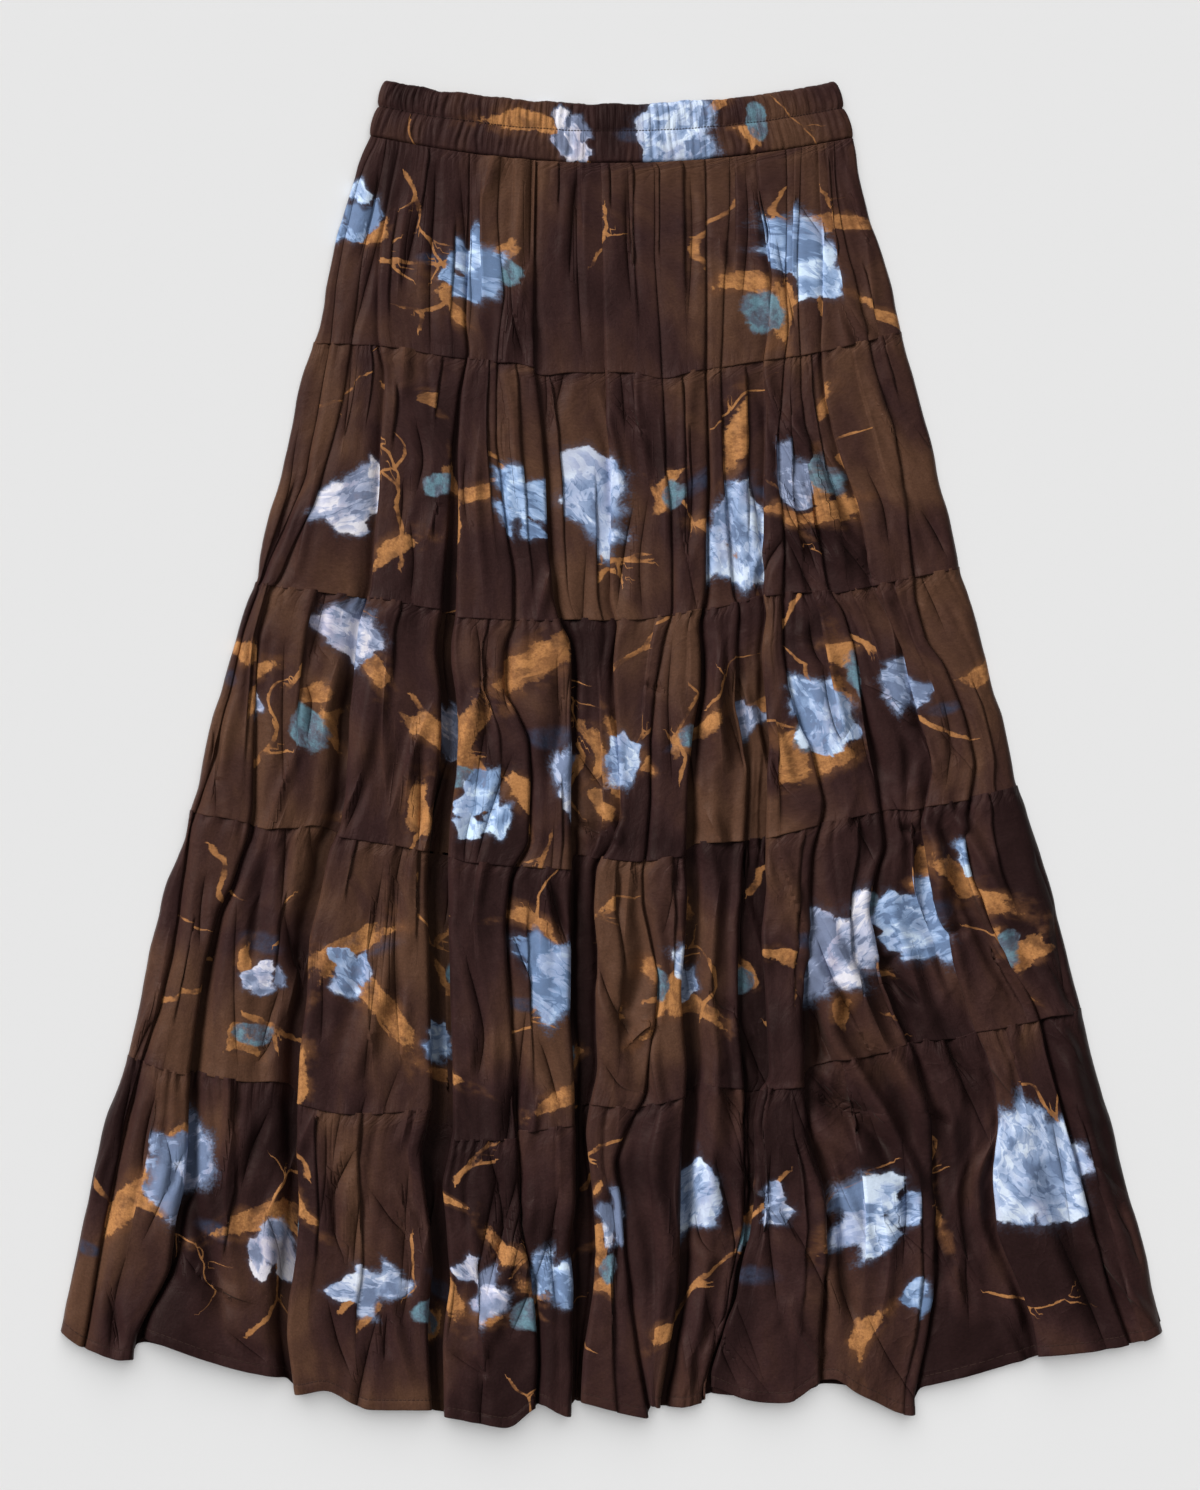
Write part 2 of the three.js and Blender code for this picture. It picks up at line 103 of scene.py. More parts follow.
# the edge of the lapping fold along each valley: level and x
VALLEYS = {
    "side_left": [(0.012, -157.1), (0.147, -167.3), (0.257, -172.7), (0.558, -180.9), (0.856, -187.7), (0.989, -189.7), (1.258, -197.2), (1.539, -206), (1.704, -216.2), (1.927, -232.6), (2.005, -238), (2.228, -249.6), (2.496, -259.1), (2.762, -267.9), (2.94, -277.4), (3.055, -284.9), (3.305, -289.7), (3.573, -297.2), (3.791, -306), (3.991, -317.6), (4.217, -327.8), (4.435, -336.6), (4.649, -344.8), (4.861, -351.6), (5, -357)],
    "outer_left": [(0.017, -151), (0.284, -159.1), (0.576, -167.3), (0.855, -172.7), (0.997, -175.4), (1.2, -180.2), (1.405, -188.4), (1.649, -200.6), (1.819, -214.2), (1.973, -224.4), (2.013, -230.5), (2.204, -238), (2.533, -240), (2.946, -242.1), (3.033, -244.8), (3.257, -256.4), (3.362, -265.2), (3.576, -274), (3.858, -281.5), (4.005, -284.9), (4.193, -285.6), (4.38, -286.3), (4.497, -295.1), (4.673, -297.8), (4.777, -308), (4.9, -319.6), (4.973, -323)],
    "broad_left": [(0.029, -142.8), (0.213, -148.2), (0.514, -155.7), (0.748, -157.8), (0.969, -157.1), (1.091, -152.3), (1.255, -153.7), (1.384, -155.7), (1.571, -156.4), (1.729, -159.1), (1.961, -161.8), (2.034, -165.9), (2.107, -170), (2.264, -172.7), (2.504, -177.5), (2.676, -177.5), (2.852, -179.5), (2.972, -182.9), (3.058, -190.4), (3.257, -197.2), (3.4, -204), (3.619, -205.4), (3.83, -210.1), (3.985, -211.5), (4.076, -212.8), (4.199, -212.2), (4.354, -210.8), (4.527, -212.8), (4.702, -218.3), (4.804, -219), (5, -213.5)],
    "deep_left": [(0.022, -95.2), (0.212, -95.2), (0.564, -96.6), (0.83, -97.9), (0.971, -95.2), (1.136, -100.6), (1.38, -103.4), (1.616, -102.7), (1.854, -104), (2.008, -104.7), (2.099, -107.4), (2.195, -107.4), (2.323, -104), (2.54, -102.7), (2.67, -104), (2.841, -108.1), (2.991, -109.5), (3.146, -110.2), (3.331, -108.8), (3.563, -107.4), (3.723, -106.8), (3.961, -106.1), (4.078, -110.2), (4.154, -113.6), (4.337, -110.8), (4.52, -108.1), (4.657, -112.2), (4.745, -113.6), (5, -112.2)],
    "tuck_left": [(0.006, -74.8), (0.294, -76.2), (0.448, -74.8), (0.675, -71.4), (0.862, -74.8), (0.966, -76.2), (1.124, -76.8), (1.329, -76.8), (1.408, -74.8), (1.683, -69.4), (1.801, -65.3), (2.011, -65.3), (2.107, -71.4), (2.294, -71.4), (2.355, -64.6), (2.479, -55.1), (2.654, -53.7), (2.909, -55.1), (3.035, -68), (3.235, -70.7), (3.393, -69.4), (3.552, -67.3), (3.714, -66), (3.875, -64.6), (4.046, -62.6), (4.212, -61.2), (4.356, -60.5), (4.484, -55.8), (4.584, -51.7), (4.728, -49.6), (4.852, -49), (4.96, -50.3)],
    "middle": [(0.014, -49.6), (0.474, -51), (1.009, -51.7), (1.073, -49), (1.24, -46.2), (1.441, -43.5), (1.679, -42.2), (1.877, -39.4), (2.007, -34), (2.073, -27.2), (2.218, -25.8), (2.393, -25.8), (2.652, -26.5), (3.011, -25.8), (3.211, -26.5), (3.383, -26.5), (3.59, -27.2), (3.797, -24.5), (4.016, -23.8), (4.281, -23.1), (4.416, -27.2), (4.55, -24.5), (4.726, -25.8), (4.86, -25.2), (4.991, -26.5)],
    "slip": [(0.001, -6.8), (0.417, -5.4), (0.984, -3.4), (1.215, -2), (1.442, 0), (1.64, 0.7), (1.919, 0), (2.019, 4.8), (2.179, 2), (2.396, 4.1), (2.568, 6.1), (2.825, 7.5), (2.953, 1.4), (3.024, -8.8), (3.212, -10.9), (3.385, -8.2), (3.636, -9.5), (3.879, -8.2), (3.967, -12.2), (4.099, -16.3), (4.283, -12.2), (4.462, -9.5), (4.64, -11.6), (4.816, -17.7), (4.95, -19.7)],
    "fine_middle": [(0, 27.2), (0.014, 29.9), (0.433, 29.9), (0.797, 34), (1.029, 35.4), (1.183, 36.7), (1.396, 37.4), (1.533, 40.8), (1.771, 42.2), (1.989, 42.2), (2.094, 36.7), (2.299, 30.6), (2.507, 27.2), (2.756, 27.2), (2.983, 23.8), (3.039, 21.8), (3.18, 22.4), (3.311, 27.2), (3.482, 32.6), (3.608, 32), (3.772, 27.2), (3.96, 23.8), (4.046, 12.2), (4.183, 2.7), (4.304, 8.2), (4.465, 10.2), (4.644, 14.3), (4.819, 19.7), (5, 26.5)],
    "deep_right": [(0.004, 64.6), (0.236, 65.3), (0.661, 65.3), (1.012, 64.6), (1.151, 65.3), (1.493, 66.6), (1.66, 65.3), (1.871, 65.3), (1.971, 63.9), (2.039, 59.8), (2.201, 61.9), (2.33, 61.2), (2.518, 55.1), (2.713, 53), (2.967, 51.7), (3.018, 50.3), (3.15, 53), (3.295, 51.7), (3.415, 50.3), (3.574, 48.3), (3.769, 50.3), (3.883, 52.4), (4.122, 49.6), (4.301, 47.6), (4.476, 46.9), (4.652, 46.2), (4.758, 42.2), (4.968, 34)],
    "fine_right": [(0.005, 80.9), (0.247, 80.9), (0.597, 77.5), (0.881, 76.2), (1.024, 74.8), (1.269, 76.2), (1.415, 76.8), (1.544, 78.2), (1.752, 80.9), (1.967, 83.6), (2.015, 87.7), (2.174, 85.7), (2.433, 86.4), (2.566, 91.1), (2.697, 93.8), (2.955, 91.8), (3.116, 89.8), (3.36, 87), (3.602, 87), (3.835, 88.4), (3.984, 91.1), (4.101, 91.1), (4.326, 91.8), (4.497, 89.1), (4.58, 83.6), (4.707, 79.6), (4.817, 70.7), (4.955, 62.6)],
    "recess_right": [(0, 100), (0.217, 102.7), (0.381, 107.4), (0.626, 110.2), (0.861, 107.4), (0.998, 104), (1.18, 105.4), (1.311, 105.4), (1.491, 104.7), (1.728, 103.4), (1.969, 103.4), (2.061, 106.1), (2.229, 102.7), (2.426, 104.7), (2.621, 107.4), (2.79, 106.1), (2.962, 105.4), (3.183, 106.1), (3.37, 102.7), (3.646, 104.7), (3.948, 108.1), (4.009, 100), (4.132, 95.9), (4.329, 96.6), (4.499, 93.2), (4.583, 88.4), (4.71, 85), (4.819, 76.2), (4.917, 68.7)],
    "broad_right": [(0, 119), (0.24, 119.7), (0.656, 119), (0.875, 121), (1.012, 118.3), (1.177, 116.3), (1.338, 113.6), (1.527, 114.2), (1.696, 117), (1.82, 118.3), (1.98, 117), (2.228, 117), (2.398, 121), (2.573, 129.2), (2.664, 136), (2.888, 144.2), (2.954, 144.2), (3.077, 137.4), (3.212, 135.3), (3.404, 136), (3.54, 133.3), (3.685, 131.2), (3.971, 131.2), (4.167, 133.3), (4.301, 142.8), (4.48, 146.9), (4.651, 145.5), (4.807, 142.8), (4.931, 142.1)],
    "slant_right": [(0, 130.6), (0.251, 129.2), (0.548, 127.2), (0.837, 127.8), (0.997, 129.2), (1.16, 129.2), (1.249, 131.2), (1.463, 135.3), (1.676, 138.7), (1.802, 142.8), (1.981, 147.6), (2.087, 157.8), (2.279, 165.9), (2.407, 168.6), (2.624, 174.1), (2.754, 178.2), (2.945, 181.6), (3.138, 186.3), (3.295, 178.2), (3.417, 175.4), (3.613, 182.2), (3.76, 187.7), (3.913, 197.2), (4.038, 205.4), (4.166, 211.5), (4.317, 217.6), (4.505, 220.3), (4.656, 220.3), (4.803, 214.9), (4.92, 207.4), (5, 206.7)],
    "outer_right": [(0, 140.8), (0.264, 142.1), (0.471, 144.2), (0.763, 144.2), (0.968, 142.8), (1.079, 144.2), (1.178, 145.5), (1.356, 151.6), (1.444, 155.7), (1.664, 168.6), (1.795, 172.7), (1.994, 176.8), (2.026, 179.5), (2.141, 189), (2.277, 197.2), (2.408, 201.3), (2.516, 205.4), (2.63, 209.4), (2.722, 214.9), (2.837, 219), (2.99, 213.5), (3.091, 211.5), (3.307, 215.6), (3.483, 223.7), (3.593, 231.2), (3.783, 237.3), (3.939, 243.4), (4.003, 248.2), (4.104, 256.4), (4.238, 262.5), (4.33, 262.5), (4.46, 258.4), (4.626, 262.5), (4.745, 273.4), (4.875, 284.9), (4.989, 289.7)],
    "side_right": [(0, 152.3), (0.282, 155), (0.447, 158.4), (0.612, 163.2), (0.822, 170), (1.007, 175.4), (1.124, 179.5), (1.226, 184.3), (1.386, 192.4), (1.534, 197.2), (1.748, 201.3), (1.974, 205.4), (2.082, 206.7), (2.278, 214.9), (2.382, 225.8), (2.498, 232.6), (2.619, 239.4), (2.726, 243.4), (2.859, 247.5), (3.002, 243.4), (3.126, 239.4), (3.33, 244.8), (3.546, 256.4), (3.764, 271.3), (3.919, 285.6), (3.993, 291), (4.119, 296.5), (4.289, 306), (4.452, 316.2), (4.639, 326.4), (4.828, 338.6), (5, 352.2)],
}
# single creases: height, half width, and the points they run through
CREASES = [
    (-1, 1.4, [(-118.3, 399.5), (-119, 370.9), (-121.7, 327.4), (-121.7, 273.7)]), (-0.7, 1.6, [(-157.1, 397.5), (-160.5, 368.9), (-170, 334.9)]),
    (-0.8, 1.2, [(-22.4, 400.2), (-22.4, 363.5), (-21.8, 327.4), (-19, 275.1)]), (-0.7, 1.2, [(12.2, 398.8), (12.9, 370.9), (15, 334.9)]),
    (0.7, 1.4, [(74.1, 349.9), (76.2, 334.9), (78.9, 321.3)]), (0.8, 1.6, [(95.9, 366.9), (100, 343.1), (105.4, 315.9), (108.8, 288.7)]),
    (-0.9, 1.5, [(112.9, 349.9), (118.3, 322.7), (125.8, 288.7)]), (0.7, 1.6, [(171.4, 366.9), (175.4, 334.9), (179.5, 295.5)]),
    (0.7, 1.4, [(159.8, 400.9), (167.3, 377.1), (174.1, 349.9)]), (-0.6, 1.6, [(-95.2, 383.9), (-96.6, 349.9), (-93.8, 309.1), (-96.6, 275.1)]),
    (0.6, 1.6, [(-136, 383.9), (-141.4, 349.9), (-144.2, 309.1)]), (0.6, 1.4, [(-61.2, 383.9), (-63.2, 336.3), (-60.5, 288.7)]),
    (-0.6, 1.4, [(54.4, 394.1), (55.8, 349.9), (53, 295.5)]), (-0.7, 1.3, [(91.8, 397.5), (93.8, 356.7), (89.8, 309.1)]),
    (-1, 1.4, [(-131.2, 224.7), (-126.5, 200.3), (-130.6, 178.5)]), (-0.7, 1.6, [(-175.4, 271), (-177.5, 241.1), (-180.9, 207.1)]),
    (0.9, 1.6, [(-72.1, 260.1), (-65.3, 227.5), (-61.9, 186.7), (-51, 162.2)]), (-0.9, 1.4, [(2.7, 238.3), (15.6, 226.8), (23.8, 215.9)]),
    (0.8, 1.5, [(13.6, 253.3), (17, 234.9), (22.4, 209.1), (25.8, 186.7)]),
    (1.3, 1.8, [(111.5, 241.1), (122.4, 224.7), (135.3, 201.6), (142.1, 179.9), (148.9, 151.3)]),
    (1.2, 1.6, [(114.2, 213.2), (122.4, 198.9), (131.2, 174.4), (139.4, 144.5), (146.2, 117.3)]),
    (-1.1, 1.5, [(116.3, 181.2), (122.4, 160.1), (134, 141.8), (140.1, 124.1)]),
    (1.2, 1.8, [(142.8, 193.5), (151.6, 167.6), (160.5, 145.9), (179.5, 120.7)]), (-0.9, 1.6, [(174.1, 193.5), (185, 169), (189, 142.5)]),
    (1, 1.6, [(184.3, 194.8), (195.8, 174.4), (203.3, 152.7), (208.1, 132.3)]), (-0.9, 1.6, [(153.7, 145.9), (168.6, 129.5), (178.2, 117.3)]),
    (-1.2, 1.5, [(117.6, 145.9), (104.7, 126.8), (100, 110.5)]), (-0.8, 1.6, [(-210.8, 220.7), (-219, 173.1), (-227.1, 132.3)]),
    (0.8, 1.6, [(-198.6, 193.5), (-206.7, 152.7), (-213.5, 122.1)]), (-0.8, 1.6, [(-135.3, 159.5), (-132.6, 132.3), (-134.6, 106.4)]),
    (0.7, 1.6, [(-88.4, 220.7), (-91.1, 173.1), (-85.7, 111.9)]), (-0.7, 1.6, [(25.8, 173.1), (20.4, 132.3), (21.8, 98.3)]),
    (-0.8, 1.5, [(54.4, 220.7), (55.8, 173.1), (51.7, 132.3)]), (0.7, 1.6, [(87, 241.1), (89.8, 200.3), (85.7, 159.5)]),
    (-1.2, 1.4, [(-205.4, 47.9), (-202, 34.3), (-204.7, 11.2)]), (-0.7, 1.8, [(-202.6, 90.1), (-197.2, 73.8), (-189, 62.9)]),
    (-1, 1.5, [(-165.9, -15.3), (-171.4, -34.3), (-178.2, -50)]), (-1, 1.6, [(-81.6, 87.4), (-84.3, 55.4), (-84.3, 23.5), (-80.2, -3.7)]),
    (-0.9, 1.5, [(-70.7, 77.9), (-70.7, 37.1), (-65.3, 26.2)]), (0.9, 1.6, [(-134, 22.1), (-136, -7.8), (-138.7, -39.1)]),
    (-1.3, 1.5, [(-25.8, 4.4), (-15, -9.2), (-4.1, -24.1)]), (-1.2, 1.5, [(-25.2, -45.2), (-15, -50), (-5.4, -54.7)]),
    (1.2, 1.6, [(-5.4, -36.4), (1.4, -50), (6.8, -62.2)]), (-1, 1.3, [(23.1, 47.3), (28.6, 45.2), (34.7, 41.8)]),
    (1.2, 1.8, [(104.7, 27.5), (112.9, 12.6), (118.3, -5.1), (122.4, -24.1)]), (-1.1, 1.6, [(108.8, -3.7), (116.3, -20.1), (124.4, -28.2)]),
    (-1.3, 1.6, [(134.6, 90.1), (138.7, 69.7), (145.5, 58.8)]), (-1.2, 1.8, [(144.2, 58.8), (148.9, 30.3), (156.4, 10.5), (163.9, 18.7)]),
    (1.1, 1.4, [(172.7, 47.9), (183.6, 42.5), (195.8, 35.7), (205.4, 27.5)]), (1.1, 1.5, [(189, 35.7), (198.6, 24.8), (206.7, 18.7)]),
    (1.2, 1.8, [(210.8, 11.2), (216.2, -3.7), (221, -16)]), (-1, 1.6, [(200.6, -28.2), (203.3, -3.7), (199.9, 13.3)]),
    (-1, 1.6, [(225.8, 37.1), (231.2, 9.9), (228.5, -17.3)]), (0.8, 1.8, [(-257, 37.1), (-262.5, 3.1), (-270.6, -30.9)]),
    (-0.8, 1.8, [(-220.3, 77.9), (-221.7, 23.5), (-220.3, -30.9)]), (0.8, 1.6, [(-149.6, 77.9), (-153.7, 23.5), (-151, -30.9)]),
    (0.8, 1.6, [(74.8, 77.9), (72.1, 37.1), (76.2, -10.5)]), (-0.8, 1.6, [(42.2, 77.9), (39.4, 37.1), (42.2, -17.3)]),
    (-1, 1.7, [(-220.3, -108.5), (-214.9, -132.9), (-209.4, -156.7)]), (-1.1, 1.8, [(-227.8, -190.7), (-232.6, -199.6), (-238, -207.7)]),
    (-1.2, 1.5, [(-97.2, -137), (-89.1, -166.9), (-85, -191.4), (-88.4, -214.5)]), (1.4, 1.5, [(-43.5, -88.7), (-40.8, -109.1), (-34, -130.9)]),
    (-1.4, 1.4, [(-40.1, -86), (-34, -112.5), (-28.6, -128.2)]), (-1.4, 1.5, [(-65.3, -122.7), (-59.8, -138.4), (-53, -152)]),
    (-1.4, 1.6, [(-46.9, -194.8), (-40.8, -213.2), (-35.4, -232.2)]), (-1.7, 1.5, [(-7.5, -144.5), (1.4, -167.6), (13.6, -190.1)]),
    (1.4, 1.8, [(12.2, -196.9), (21.8, -187.3), (31.3, -180.5)]), (-1.4, 1.6, [(-3.4, -209.8), (8.2, -224.7), (25.2, -228.8)]),
    (-1.2, 1.6, [(70.7, -143.8), (72.1, -165.6), (87, -177.8)]), (1.4, 1.8, [(113.6, -57.5), (119, -79.2), (126.5, -103.7), (136.7, -126.1)]),
    (-1.5, 1.7, [(138.7, -122.1), (151, -152.7), (163.9, -175.8), (174.8, -198.9)]),
    (1.5, 1.8, [(144.2, -112.5), (159.1, -139.7), (171.4, -163.5), (185, -194.1)]), (-1.6, 1.6, [(187, -150.6), (196.5, -158.8), (209.4, -169.7)]),
    (-1.1, 1.6, [(182.9, -146.5), (189.7, -141.1), (196.5, -135)]), (-1.4, 1.3, [(196.5, -50), (202.6, -52), (209.4, -52)]),
    (1.5, 1.8, [(236, -56.1), (243.4, -86.7), (256.4, -118.7)]), (1.6, 1.8, [(257, -124.8), (269.3, -143.8), (287, -172.4)]),
    (-1.2, 1.6, [(228.5, -123.4), (236.6, -118.7), (247.5, -118)]), (-1.6, 1.7, [(132.6, -215.9), (145.5, -228.1), (158.4, -244.5)]),
    (-1.3, 1.5, [(148.2, -222.7), (156.4, -230.9), (164.6, -240.4)]), (1.2, 1.8, [(164.6, -180.5), (171.4, -192.8), (178.2, -205)]),
    (-1.1, 1.7, [(300.6, -98.9), (304.6, -132.9), (310.1, -166.9)]), (0.9, 1.8, [(-299.2, -119.3), (-306, -160.1), (-314.2, -200.9)]),
    (-0.9, 1.8, [(-251.6, -98.9), (-254.3, -153.3), (-251.6, -207.7)]), (0.9, 1.7, [(-161.8, -98.9), (-164.6, -153.3), (-159.1, -221.3)]),
    (-1, 1.7, [(-142.8, -85.3), (-145.5, -139.7), (-141.4, -207.7)]), (0.9, 1.7, [(74.8, -85.3), (69.4, -126.1), (65.3, -194.1)]),
    (-1, 1.8, [(-324.4, -219.3), (-327.8, -241.7), (-331.8, -268.9)]), (-1, 1.6, [(-300.6, -257.4), (-296.5, -275.7), (-299.2, -296.1)]),
    (-1.4, 1.7, [(-231.9, -243.1), (-242.1, -266.9), (-248.2, -289.3)]), (-1.3, 1.8, [(-233.2, -308.4), (-224.4, -332.2), (-221.7, -357.3)]),
    (1.4, 1.8, [(-280.8, -348.5), (-264.5, -362.1), (-243.4, -370.9)]), (-1.1, 1.7, [(-289.7, -335.6), (-276.1, -354.6), (-259.8, -368.2)]),
    (-1.8, 1.8, [(-173.4, -268.9), (-185.6, -295.5), (-186.3, -321.3), (-179.5, -341)]),
    (-1, 1.8, [(-191.8, -245.1), (-191.8, -284.6), (-195.8, -316.5)]), (-1.2, 1.7, [(-161.2, -295.5), (-145.5, -317.2), (-133.3, -327.4)]),
    (1.2, 1.6, [(-144.8, -294.1), (-135.3, -314.5), (-130.6, -330.1)]), (-1.1, 1.7, [(-107.4, -404.3), (-95.2, -413.1), (-83, -419.9)]),
    (-1.4, 1.7, [(-82.3, -266.9), (-74.8, -295.5), (-72.1, -320.6), (-76.2, -343.7)]),
    (-1.6, 1.6, [(53.7, -293.4), (58.5, -321.3), (63.9, -332.9), (74.8, -338.3)]), (-1.6, 1.6, [(72.1, -275.7), (79.6, -302.9), (86.4, -345.1)]),
    (1.5, 1.8, [(122.4, -370.9), (127.2, -390), (144.2, -410.4)]), (-1.5, 1.7, [(153.7, -328.1), (155.7, -357.3), (165.2, -385.9)]),
    (-1.5, 1.6, [(150.3, -230.9), (163.2, -239), (183.6, -243.1)]), (-1.4, 1.6, [(138, -234.9), (155, -241.1), (170, -248.5)]),
    (-1.3, 1.5, [(213.5, -242.4), (221.7, -245.8), (230.5, -251.3)]), (-1.3, 1.6, [(229.8, -200.9), (238, -210.5), (247.5, -221.3)]),
    (1.6, 1.8, [(262.5, -256.7), (248.9, -286.6), (250.2, -316.5), (258.4, -338.3)]), (1.4, 1.8, [(266.6, -358.7), (273.4, -373.7), (278.8, -387.9)]),
    (1.3, 1.6, [(301.2, -183.9), (310.1, -194.1), (318.2, -207.7)]), (-1.4, 1.8, [(342, -302.9), (352.2, -323.3), (359, -345.1)]),
    (1.5, 1.8, [(326.4, -330.1), (346.8, -360.7), (368.6, -387.3)]), (1.2, 1.4, [(256.4, -209.1), (265.2, -221.3), (274.7, -233.6)]),
    (-1.1, 1.8, [(6.8, -323.3), (1.4, -364.1), (4.1, -404.9)]), (1, 1.8, [(34, -302.9), (36.7, -343.7), (32.6, -391.3)]),
    (-1.2, 1.8, [(108.8, -268.9), (107.4, -316.5), (112.9, -370.9)]), (-1.1, 1.8, [(238, -302.9), (242.1, -343.7), (243.4, -384.5)]),
    (-1, 1.8, [(299.2, -248.5), (307.4, -289.3), (314.2, -330.1)]), (1, 1.8, [(-149.6, -364.1), (-142.8, -398.1), (-134.6, -425.3)]),
    (-1.2, 1.7, [(-190.4, -370.9), (-183.6, -398.1), (-175.4, -418.5)]), (-1.1, 1.7, [(-34, -289.3), (-39.4, -330.1), (-36.7, -370.9)]),
    (1, 1.8, [(-255, -248.5), (-259.8, -296.1), (-257, -336.9)]), (-1.2, 1.6, [(-340, -364.1), (-334.6, -384.5), (-331.8, -401.5)]),
    (-1.3, 1.5, [(-257, -391.3), (-244.8, -401.5), (-232.6, -410.4)]), (0.9, 1.7, [(183.6, -302.9), (189, -343.7), (180.9, -391.3)]),
    (-1.2, 1.7, [(197.2, -262.1), (201.3, -302.9), (198.6, -343.7)]),
]
# broad slanting ridges and troughs, mostly low on the right
BROAD = [
    (2.6, 2.4, [(117.6, -122), (137.4, -143), (148.9, -161.5), (147.6, -186.7), (162.5, -211.8), (180.9, -241), (196.5, -269.6), (212.8, -302.3), (223.7, -323.3)]),
    (2.4, 2.3, [(144.8, -125.5), (162.5, -158), (176.8, -186.7), (195, -211.8), (209.4, -241), (220.3, -277)]),
    (2.4, 2.4, [(209.4, -39), (218.3, -64), (223.7, -107), (231.2, -136.3), (242, -169)]),
    (2.2, 2.4, [(242, -71), (256.4, -107), (274, -143), (292.4, -172.4)]), (2.0, 2.3, [(223.7, -31.6), (242, -56.8), (259.8, -89.4), (270.6, -114.6)]),
    (-2.8, 3.6, [(134, -230), (156, -246.6), (178, -258.4), (195, -269.6)]), (-2.4, 3.2, [(131.9, -169), (137.4, -197.5), (135.3, -222.7)]),
    (-2.2, 4.2, [(180.9, -136), (184.3, -169), (195, -190)]), (-1.8, 2.5, [(151.6, -291.4), (155, -327.4), (159, -359.4), (165.9, -392)]),
    (-1.8, 3.0, [(-232, -60), (-240, -100), (-246, -150)]), (1.8, 3.2, [(-150, -120), (-158, -160), (-170, -200), (-176, -222)]),
    (-2.0, 3.4, [(-290, -270), (-284, -310), (-270, -350), (-262, -385)]), (2.0, 3.0, [(-60, -300), (-68, -340), (-82, -380), (-90, -405)]),
    (1.8, 3.0, [(-160, 60), (-166, 20), (-176, -20)]), (-1.8, 3.2, [(152, 70), (160, 40), (172, 5), (186, -20)]), (1.8, 2.8, [(122, 225), (136, 190), (150, 150), (158, 122)]),
    (-1.6, 3.0, [(88, 70), (84, 30), (90, -10)]), (1.9, 3.0, [(300, -180), (312, -220), (322, -262), (338, -300)]), (-1.9, 3.2, [(290, -262), (300, -300), (318, -345), (330, -380)]),
    (-1.7, 3.0, [(14, -100), (20, -140), (10, -180), (16, -215)]), (1.7, 3.0, [(34, -240), (28, -280), (36, -320), (44, -360)]), (-1.5, 2.8, [(-40, 60), (-36, 20), (-44, -20)]),
]
# how far each fold's top leans, as a share of its height: positive where it is high on its left-hand side
LEAN = {2: [0, 0, 0.1, 0.2, 0.3, 0.2], 3: [0, 0, 0.1, 0.15, 0.1, 0], 6: [0, 0, -0.1, -0.15, 0, 0.1], 9: [0, 0, 0.3, 0.7, 0.7, 0.3], 10: [0, 0, 0.3, 0.6, 0.6, 0.2], 12: [0, 0, 0.1, 0.25, 0.3, 0.2], 13: [0, 0, 0.1, 0.25, 0.45, 0.3], 14: [0, 0, 0.1, 0.2, 0.2, 0.2]}


# ------------------------------------------------------------------ small tools
def spline(values, t):
    """Smooth curve through values at 0, 1, 2 ..., at each t."""
    v = np.asarray(values, float)
    n = len(v) - 1
    t = np.clip(np.asarray(t, float), 0, n)
    i = np.minimum(t.astype(int), n - 1)
    f = t - i
    p0, p1, p2, p3 = v[np.maximum(i - 1, 0)], v[i], v[i + 1], v[np.minimum(i + 2, n)]
    m1 = np.where(i > 0, (p2 - p0) / 2, p2 - p1)
    m2 = np.where(i < n - 1, (p3 - p1) / 2, p2 - p1)
    f2, f3 = f * f, f * f * f
    return (2 * f3 - 3 * f2 + 1) * p1 + (f3 - 2 * f2 + f) * m1 + (3 * f2 - 2 * f3) * p2 + (f3 - f2) * m2


def lattice(ix, iy, seed):
    h = (ix.astype(np.int64) * 374761393 + iy.astype(np.int64) * 668265263 + seed * 1442695041) & 0xFFFFFFFF
    h = ((h ^ (h >> 13)) * 1274126177) & 0xFFFFFFFF
    return ((h ^ (h >> 16)) & 0xFFFF) / 65535.0 * 2 - 1


def noise(x, y, seed):
    """Smooth noise from -1 to 1."""
    ix, iy = np.floor(x), np.floor(y)
    fx, fy = x - ix, y - iy
    fx, fy = fx * fx * fx * (fx * (fx * 6 - 15) + 10), fy * fy * fy * (fy * (fy * 6 - 15) + 10)
    a, b = lattice(ix, iy, seed), lattice(ix + 1, iy, seed)
    c, d = lattice(ix, iy + 1, seed), lattice(ix + 1, iy + 1, seed)
    return (a + (b - a) * fx) * (1 - fy) + (c + (d - c) * fx) * fy


def fractal(x, y, seed, octaves=3, gain=0.5):
    out, amp = 0, 1.0
    for k in range(octaves):
        out = out + noise(x * 2**k, y * 2**k, seed + 17 * k) * amp
        amp *= gain
    return out


def blur(a, sigma, axis):
    """Gaussian blur along one axis that keeps the two ends where they are."""
    if sigma <= 0:
        return a
    r = int(math.ceil(3 * sigma))
    k = np.exp(-0.5 * (np.arange(-r, r + 1) / sigma) ** 2)
    k /= k.sum()
    a = np.moveaxis(a, axis, -1)
    left, right = 2 * a[..., :1] - a[..., r:0:-1], 2 * a[..., -1:] - a[..., -2 : -r - 2 : -1]
    p = np.concatenate([left, a, right], -1)
    out = np.zeros_like(a)
    for i, w in enumerate(k):
        out += w * p[..., i : i + a.shape[-1]]
    return np.moveaxis(out, -1, axis)


def step(a, b, x):
    f = np.clip((x - a) / (b - a), 0, 1)
    return f * f * (3 - 2 * f)


def line_y(sec, x):
    r = np.clip((x - sec["shift"]) / sec["half"], -1.02, 1.02)
    return sec["y"] + sec["tilt"] * r / 2 - sec["sag"] * (1 - r * r)


